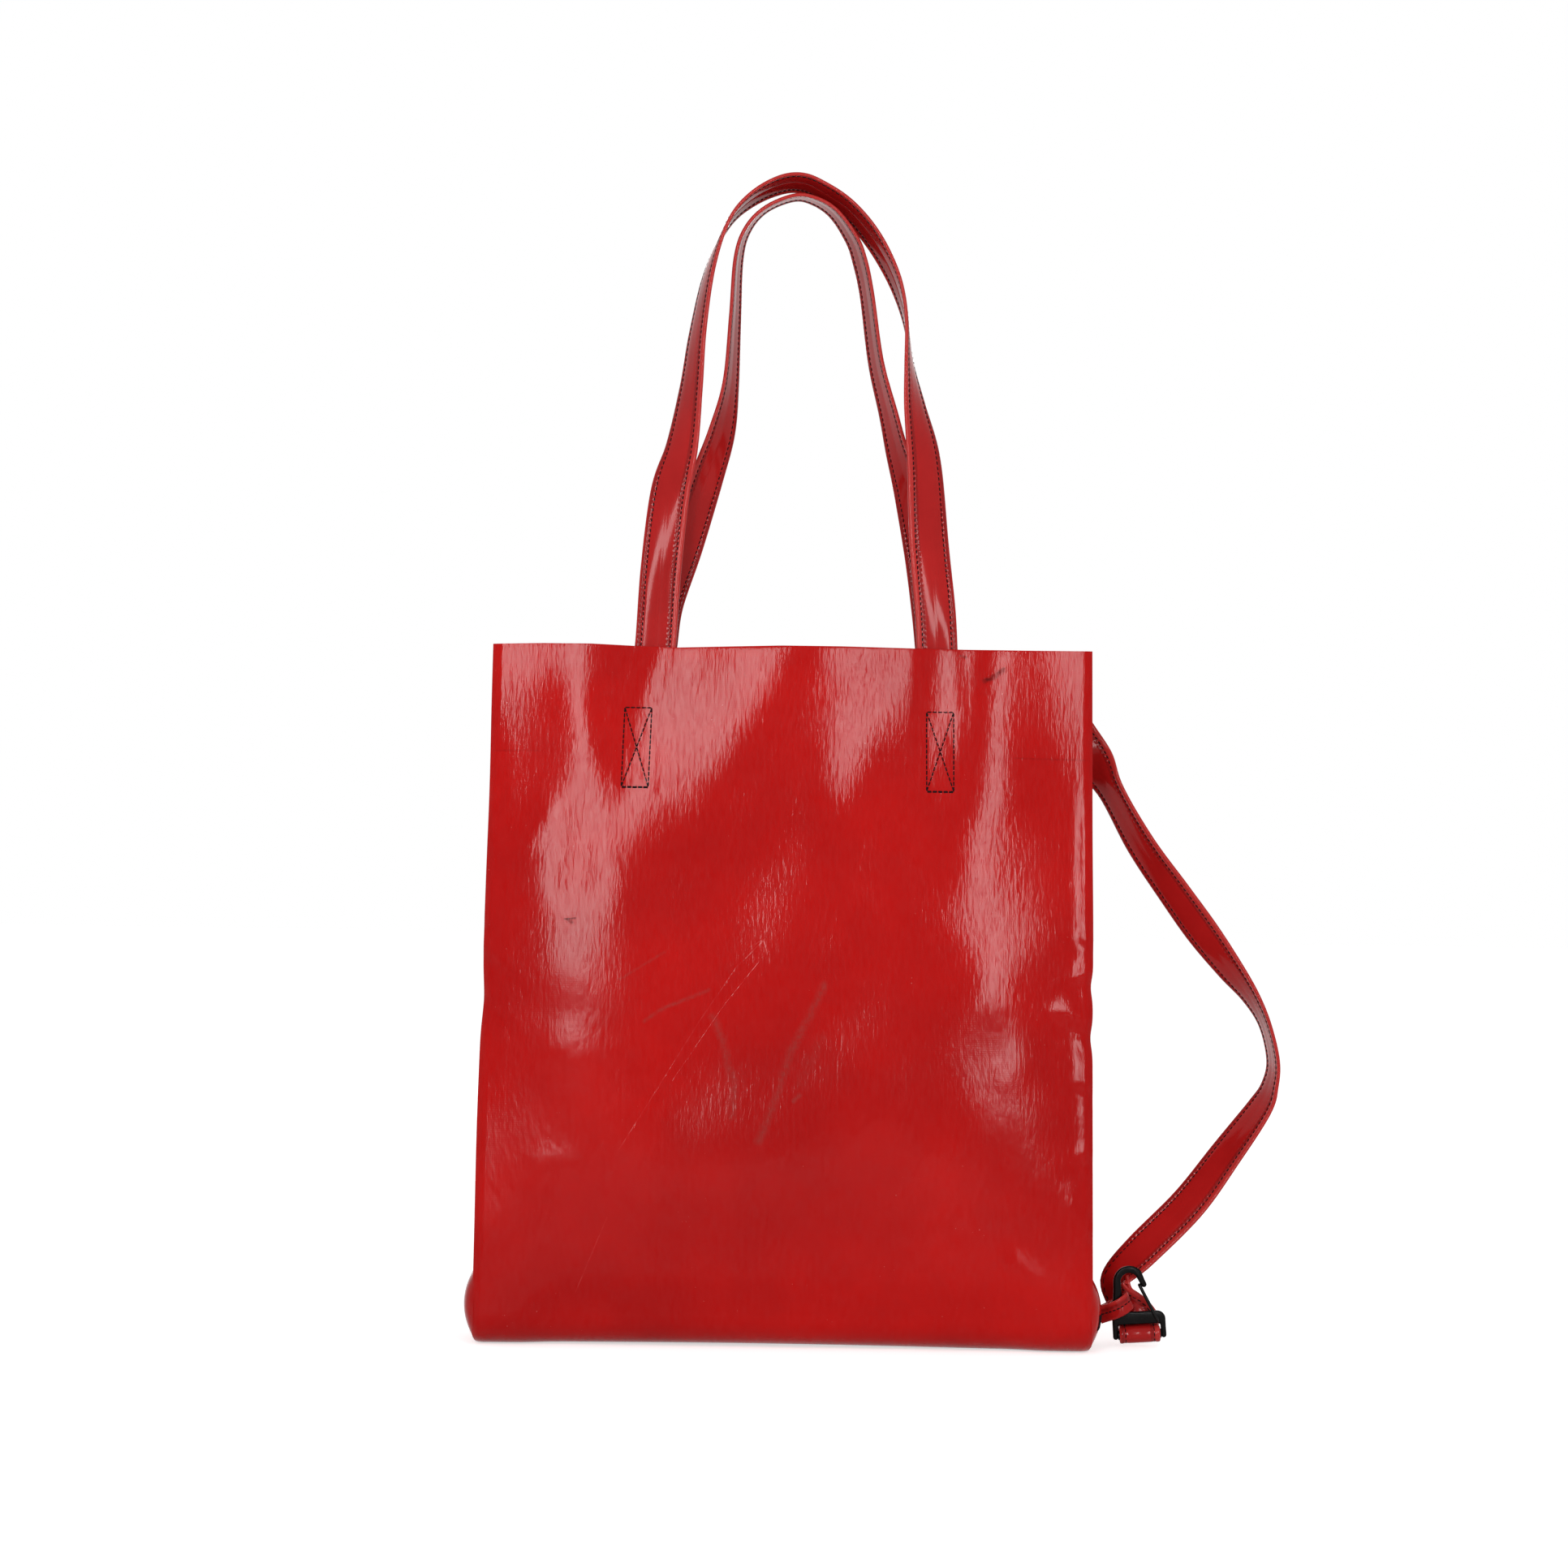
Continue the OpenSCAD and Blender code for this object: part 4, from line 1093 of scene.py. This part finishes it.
class TOTE_OT_stage(ToteOperator, bpy.types.Operator):
    """Sets the floor, the lamps, the world and the camera"""
    bl_idname = "tote.stage"
    bl_label = "Stage"

    def execute(self, context):
        deselect_all()
        bpy.ops.mesh.primitive_plane_add(size=14, location=(0, 0, -0.0004))
        floor = context.object
        floor.name = floor.data.name = "floor"
        floor.data.materials.append(self.floor_material(Settings(context.scene).floor_colour))
        for name, azimuth, wide, tall in FRONT_LAMPS:
            for part, radiance in LAMP_PARTS:
                lamp = self.softbox(context, "%s_%s" % (part, name), azimuth, LAMP_AWAY, LAMP_UP,
                                    wide, tall, radiance)
                lamp.visible_diffuse, lamp.visible_glossy = part == "soft", part == "sheen"
                lamp.data.cycles.use_multiple_importance_sampling = part == "sheen"
        self.softbox(context, "softbox_behind", 180.0, **BACK_LAMP)
        self.world(context)
        self.camera(context)
        return {"FINISHED"}

    def floor_material(self, colour):
        material = bpy.data.materials.new("pale_floor")
        nodes = Nodes(material, empty=True)
        matt = nodes.out("ShaderNodeBsdfDiffuse", {"Color": (*colour, 1)})
        white = nodes.out("ShaderNodeEmission",
                          {"Color": (1, 1, 1, 1), "Strength": FLOOR_WHITE})
        nodes.shown("ShaderNodeOutputMaterial", matt,
                    nodes.out("ShaderNodeAddShader", {0: matt, 1: white}))
        return material

    def softbox(self, context, name, azimuth, distance, middle, wide, tall, radiance):
        """An oblong lamp at an angle round the bag, with the height of its middle in metres."""
        angle = math.radians(azimuth)
        spot = Vector((math.sin(angle) * distance, -math.cos(angle) * distance, middle))
        deselect_all()
        bpy.ops.object.light_add(type="AREA", location=spot)
        lamp = context.object
        lamp.name = lamp.data.name = name
        lamp.data.shape = "RECTANGLE"
        lamp.data.size, lamp.data.size_y = wide, tall
        lamp.data.energy = radiance * math.pi * wide * tall
        lamp.rotation_euler = (LAMPS_AIM_AT - spot).to_track_quat("-Z", "Y").to_euler()
        lamp.visible_camera = False
        return lamp

    def world(self, context):
        context.scene.world = bpy.data.worlds.new("soft_studio")
        nodes = Nodes(context.scene.world, empty=True)
        soft, white = (nodes.out("ShaderNodeBackground", {"Color": (1, 1, 1, 1), "Strength": level})
                       for level in (WORLD_LIGHT, 1.0))
        nodes.shown("ShaderNodeOutputWorld", soft, white)

    def camera(self, context):
        deselect_all()
        bpy.ops.object.camera_add(location=CAMERA_SPOT,
                                  rotation=(math.radians(90), math.radians(CAMERA_ROLL), 0))
        camera = context.object
        camera.name = camera.data.name = "camera"
        camera.data.sensor_width, camera.data.lens = 36, LENS
        context.scene.camera = camera


class TOTE_OT_panels(ToteOperator, bpy.types.Operator):
    """Makes the front and the back, each with its roll at the base and its hem at the rim"""
    bl_idname = "tote.panels"
    bl_label = "Panels and hems"

    def execute(self, context):
        settings = Settings(context.scene)
        for name, side, look in (("front", -1, "panel"), ("back", 1, "tarpaulin")):
            shell = panel_sheet(name + "_shell", side, settings)
            dress(shell, look, settings)
            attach(shell, "bag")
            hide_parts(name + "_panel", name + "_hem")
        return {"FINISHED"}


class TOTE_OT_sides(ToteOperator, bpy.types.Operator):
    """Makes the folded sides and the base"""
    bl_idname = "tote.sides"
    bl_label = "Sides and base"

    def execute(self, context):
        settings = Settings(context.scene)
        for name, side in (("left", -1), ("right", 1)):
            piece = side_sheet(name + "_side", side)
            dress(piece, "tarpaulin", settings)
            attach(piece, "bag")
            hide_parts(name + "_gusset")
        base = base_sheet("base_sheet")
        dress(base, "tarpaulin", settings)
        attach(base, "bag")
        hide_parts("base_panel")
        return {"FINISHED"}


class TOTE_OT_handles(ToteOperator, bpy.types.Operator):
    """Makes the two carrying handles with their rows of stitches"""
    bl_idname = "tote.handles"
    bl_label = "Carrying handles"

    def execute(self, context):
        settings = Settings(context.scene)
        for name, side, grip in (("front", -1, "front_grip"), ("back", 1, "back_grip")):
            ribbon = handle_ribbon(side)
            # the free part's two edges turn up a little
            crown = 0.95 * smooth((ribbon.spot[:, 2] - BAG_H - 4) / 50)
            strap = swept(name + "_carry_strap", ribbon.spot, ribbon.across, ribbon.face,
                          strap_outline(-side), crown)
            dress(strap, "strapping", settings)
            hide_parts(name + "_handle", name + "_handle_ends")
            rows = long_rows(name + "_carry_stitches", ribbon, settings, crown)
            for piece in (strap, rows):
                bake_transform(piece)
        return {"FINISHED"}


class TOTE_OT_boxes(ToteOperator, bpy.types.Operator):
    """Sews the crossed boxes that hold the handles"""
    bl_idname = "tote.boxes"
    bl_label = "Stitched boxes"

    def execute(self, context):
        settings = Settings(context.scene)
        for name, side in (("front", -1), ("back", 1)):
            def surface(x, z, side=side):
                return panel_skin(x, z, side, -0.16)

            runs = [run for x, lean in zip(BOX_X, BOX_LEAN) for run in box_runs(x, lean)]
            boxes = sew_runs(name + "_box_thread", surface, runs, side, settings)
            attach(boxes, "bag")
            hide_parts(name + "_box_stitches")
        return {"FINISHED"}


class TOTE_OT_strap(ToteOperator, bpy.types.Operator):
    """Makes the shoulder strap from its sewn end on the back to the hook"""
    bl_idname = "tote.strap"
    bl_label = "Shoulder strap"

    def execute(self, context):
        settings = Settings(context.scene)
        ribbon = strap_ribbon()
        strap = swept("long_strap", ribbon.spot, ribbon.across, ribbon.face, strap_outline(-1))
        dress(strap, "strapping", settings)
        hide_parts("shoulder_strap", "strap_anchor", "strap_end_loop")
        rows = long_rows("long_strap_stitches", ribbon, settings)
        for piece in (strap, rows):
            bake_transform(piece)
        self.anchor(settings)
        self.tail(ribbon, settings)
        return {"FINISHED"}

    def anchor(self, settings):
        """A crossed box holds the strap's sewn end on the back."""
        margin, length = 4, 30
        across = np.array([-STRAP_SLOPE[2], 0, STRAP_SLOPE[0]]) * BOX_W / 2
        start = EXIT - STRAP_SLOPE * (ANCHOR_L - margin)
        end = start + STRAP_SLOPE * length
        a, b, c, d = start - across, start + across, end + across, end - across
        runs = [((p[0], p[2]), (q[0], q[2]))
                for p, q in ((a, b), (b, c), (c, d), (d, a), (a, c), (b, d))]
        box = sew_runs("anchor_thread", lambda x, z: panel_skin(x, z, 1, -GAP - STRAP_T - 0.12),
                       runs, 1, settings)
        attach(box, "bag")
        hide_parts("strap_anchor_stitches")

    def tail(self, ribbon, settings):
        """Two short rows across the strap hold its turned-up end."""
        half, pitch = STRAP_W / 2 - 2.5, settings.stitch_pitch
        count = int(2 * half / pitch)
        edge = -half + np.arange(count) * 2 * half / count
        runs = [np.full(count, ribbon.run[-1] - back) for back in (4.0, 16.0)]
        rows = sew_rows("tail_thread", ribbon,
                        [(run, run, edge, edge + pitch * 0.86, 1.12, 1) for run in runs], settings)
        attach(rows, "strap")
        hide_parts("strap_end_stitches")


LOOP_W, LOOP_T, LOOP_ROW = 10.5, 1.6, 0.66
LOOP_STATIONS = (
    (0, -0.45, 0.4, 0), (4, -1.4, 1.9, 0.1), (8, -3.9, 3.6, 0.3), (12.5, -5.4, 5.9, 0.46),
    (16.6, -3.7, 8.6, 0.46), (18.3, 0, 9.8, 0.46), (16.8, 3.2, 8.8, 0.46), (12.5, 4.4, 6.1, 0.46),
    (8, 4.1, 3.8, 0.3), (4, 1.9, 2.2, 0.1), (0, 0.45, 0.6, 0),
)


class TOTE_OT_corner(ToteOperator, bpy.types.Operator):
    """Makes the small loop at the base corner and its dense stitching"""
    bl_idname = "tote.corner"
    bl_label = "Corner loop"

    def execute(self, context):
        settings = Settings(context.scene)
        points = np.array([ROOT + np.array(s[:3]) for s in LOOP_STATIONS])
        across = unit_rows(np.array([(-s[3], 0, 1) for s in LOOP_STATIONS], float))
        ribbon = Ribbon(points, across, 10)
        w, t = LOOP_W / 2, LOOP_T / 2
        half = [(w, 0), (w - 0.1, 0.5), (w - 0.5, 0.92), (w - 1.3, 1.0), (1.4, 1.0), (0.7, 0.8)]
        outline = section(half, LOOP_ROW, LOOP_ROW) * (1, t)
        count = len(ribbon.spot)
        from_end = np.minimum(np.arange(count), np.arange(count)[::-1])
        thin = np.clip(0.4 + 0.6 * from_end / 8, 0, 1)[:, None]
        band = swept("corner_band", ribbon.spot, ribbon.across, ribbon.face * thin, outline)
        dress(band, "strapping", settings)
        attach(band, "strap")
        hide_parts("corner_loop")
        pitch = settings.stitch_pitch * 0.85
        start = np.arange(1.5, ribbon.run[-1] - 4, pitch)
        rows = sew_rows("corner_band_thread", ribbon,
                        [(start, start + pitch * 0.84, 0.0, 0.0, face * (LOOP_ROW * t + 0.08), face)
                         for face in (-1, 1)], settings)
        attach(rows, "strap")
        self.bartack(settings)
        return {"FINISHED"}

    def bartack(self, settings):
        """Close zigzag stitches from the front panel's edge to the loop's root."""
        low, high, front, near = ROOT[2] - 4.5, ROOT[2] + 5.0, ROOT[1] - 38, ROOT[1] - 2.5
        y = np.linspace(front, near, 57)
        z = np.where(np.arange(len(y)) % 2 == 0, low, high)
        x = gusset_skin(z, y / gusset_reach(z)) + 0.35
        line = np.column_stack([x, y, z])
        tack = sew("bartack_thread", line[:-1], line[1:], (1.0, 0.0, 0.0), settings)
        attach(tack, "bag")
        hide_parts("corner_bartack")


def arc(cu, cv, r, start, end, steps):
    a = np.radians(np.linspace(start, end, steps))
    return list(zip(cu + r * np.cos(a), cv + r * np.sin(a)))


def hook_outline():
    """The hook's outline along its bar and up, one loop, starting at the left foot."""
    half, foot = HOOK_W / 2, LEG_W / 2
    arch_u, arch_v, arch_r, arch_bar = -4.5, BASE_HIGH + 18, 9.6, 4.4
    mid, nose, lean, tip_r = arch_r - arch_bar / 2, math.radians(35), math.radians(22), 1.7
    down = np.array([math.sin(lean), -math.cos(lean)])
    right = np.array([math.cos(lean), math.sin(lean)])
    tip = np.array([arch_u + mid * math.cos(nose), arch_v + mid * math.sin(nose)]) + down * 6.8
    points = arc(-half + foot, -1.0, foot, 360, 180, 9)
    points += [(-half, 3.0), (-half, 7.0), (-half + 0.1, 12.0), (-15.2, 19.0), (-14.4, 26.0)]
    points += arc(arch_u, arch_v, arch_r, 180, 40, 26)
    points += [tuple(tip + right * tip_r - down * 3)]
    points += [tuple(tip + right * tip_r * math.cos(a) + down * tip_r * math.sin(a))
               for a in np.radians(np.linspace(0, 180, 8))]
    points += arc(arch_u, arch_v, arch_r - arch_bar, 37, 180, 20)
    points += [(-9.45, 26.0), (-9.0, 21.0), (-8.2, 17.6), (-6.9, 15.5), (-4.8, 14.2),
               (-2.0, BASE_HIGH)]
    points += arc(half - 5, BASE_HIGH - 5, 5, 90, 0, 9)
    points += [(half, 3.0), (half + 0.1, 0.6)]
    points += arc(half - foot + 0.1, -1.0, foot, 0, -180, 9)
    points += [(half - 2 * foot + 0.1, 0.6), (half - 2 * foot, BASE_LOW)]
    points += [(-half + 2 * foot, BASE_LOW)]
    return np.array(points)


def bevelled_plate(name, outline, thickness, bevel):
    """Extrudes a flat outline about its middle plane and rounds its rims."""
    face = hook_point(outline[:, 0], np.full(len(outline), thickness / 2), outline[:, 1])
    obj = plain_mesh(name, face, [tuple(range(len(face)))])
    through = {"value": tuple(HOOK_Q * -thickness * MM)}
    edit_mesh(obj, lambda: bpy.ops.mesh.extrude_region_move(TRANSFORM_OT_translate=through),
              lambda: bpy.ops.mesh.select_all(action="SELECT"), face_outwards)
    apply_modifier(obj, "BEVEL", width=bevel * MM, segments=4, limit_method="ANGLE",
                   angle_limit=math.radians(50), use_clamp_overlap=False)
    return obj


def closed_wire(name, spots, radius):
    """A round wire along a smooth closed line."""
    head = headings(spots)
    head[0] = head[-1] = unit_rows((spots[1:2] - spots[-2:-1]))[0]
    side = np.zeros_like(head)
    last = unit_rows(np.cross(head[:1], HOOK_U[None]))[0]
    for i, h in enumerate(head):
        last = last - h * (last @ h)
        last = last / np.linalg.norm(last)
        side[i] = last
    other = np.cross(head, side)
    side[-1], other[-1] = side[0], other[0]
    angle = np.arange(10) * 2 * math.pi / 10
    outline = np.column_stack([radius * np.cos(angle), radius * np.sin(angle)])
    return swept(name, spots, side, other, outline)


def round_oblong(half, height, bend):
    """A closed upright oblong with round corners, as rows of back and up."""
    corners = np.array([(-half, 0), (-half, height), (half, height), (half, 0)])
    line = []
    for n in range(4):
        start, end, after = corners[n], corners[(n + 1) % 4], corners[(n + 2) % 4]
        along, turned = unit_rows(np.array([end - start, after - end]))
        a, b = start + along * bend, end - along * bend
        line += [a + (b - a) * k / 6 for k in range(7)]
        line += [b + turned * bend * (1 - math.cos(t)) + along * bend * math.sin(t)
                 for t in np.radians((22.5, 45, 67.5))]
    return np.array(line + line[:1])


class TOTE_OT_hook(ToteOperator, bpy.types.Operator):
    """Makes the snap hook and its wire gate"""
    bl_idname = "tote.hook"
    bl_label = "Snap hook"

    def execute(self, context):
        settings = Settings(context.scene)
        body = bevelled_plate("hook_body", hook_outline(), HOOK_T, 1.35)
        shade(body, 35)
        dress(body, "hook_black", settings)
        deselect_all()
        bpy.ops.mesh.primitive_cylinder_add(
            vertices=40, radius=BAR_R * MM, depth=(STRAP_W + 1.6) * MM, location=tuple(BAR * MM),
            rotation=(0, math.radians(90) - HOOK_TILT, 0))
        bar = context.object
        bar.name = bar.data.name = "hook_bar"
        bpy.ops.object.transform_apply(location=True, rotation=True, scale=True)
        apply_modifier(bar, "BEVEL", width=0.3 * MM, segments=2, limit_method="ANGLE",
                       angle_limit=math.radians(60))
        shade(bar, 35)
        dress(bar, "hook_black", settings)
        for piece in (body, bar):
            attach(piece, "hook")
            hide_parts("hook_frame")
        self.gate(settings)
        return {"FINISHED"}

    def gate(self, settings):
        """One wire straddles the hook, pivots in its base and closes inside the nose."""
        r, lean, height = WIRE_D / 2 + 0.35, math.radians(24.4), 23.8
        line = round_oblong(HOOK_T / 2 + r + 0.15, height, 1.3)
        u = 11.3 - line[:, 1] * math.sin(lean)
        v = BASE_LOW + 1.6 + line[:, 1] * math.cos(lean)
        wire = closed_wire("gate_loop", hook_point(u, line[:, 0], v), r)
        dress(wire, "wire_black", settings)
        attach(wire, "gate")
        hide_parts("gate_wire")


OPERATORS = (TOTE_OT_stage, TOTE_OT_panels, TOTE_OT_sides, TOTE_OT_handles, TOTE_OT_boxes,
             TOTE_OT_strap, TOTE_OT_corner, TOTE_OT_hook)


class TOTE_PT_panel(bpy.types.Panel):
    """Lists the sizes, the colours and the steps that make the bag"""
    bl_idname = "TOTE_PT_panel"
    bl_label = "Tote Bag"
    bl_space_type = "VIEW_3D"
    bl_region_type = "UI"
    bl_category = "Tote Bag"

    def draw(self, context):
        for group in (context.scene.tote_sizes, context.scene.tote_colours):
            column = self.layout.column()
            for name in group.bl_rna.properties.keys():
                if name not in {"rna_type", "name"}:
                    column.prop(group, name)
        for operator in OPERATORS:
            self.layout.operator(operator.bl_idname)


CLASSES = (TOTE_PG_sizes, TOTE_PG_colours) + OPERATORS + (TOTE_PT_panel,)


def register():
    for item in CLASSES:
        bpy.utils.register_class(item)
    bpy.types.Scene.tote_sizes = bpy.props.PointerProperty(type=TOTE_PG_sizes)
    bpy.types.Scene.tote_colours = bpy.props.PointerProperty(type=TOTE_PG_colours)


def unregister():
    del bpy.types.Scene.tote_colours
    del bpy.types.Scene.tote_sizes
    for item in reversed(CLASSES):
        bpy.utils.unregister_class(item)


def main():
    register()
    bpy.context.scene.view_settings.view_transform = "Standard"
    for operator in OPERATORS:
        group, name = operator.bl_idname.split(".")
        getattr(getattr(bpy.ops, group), name)()
    deselect_all()


if __name__ == "__main__":
    main()
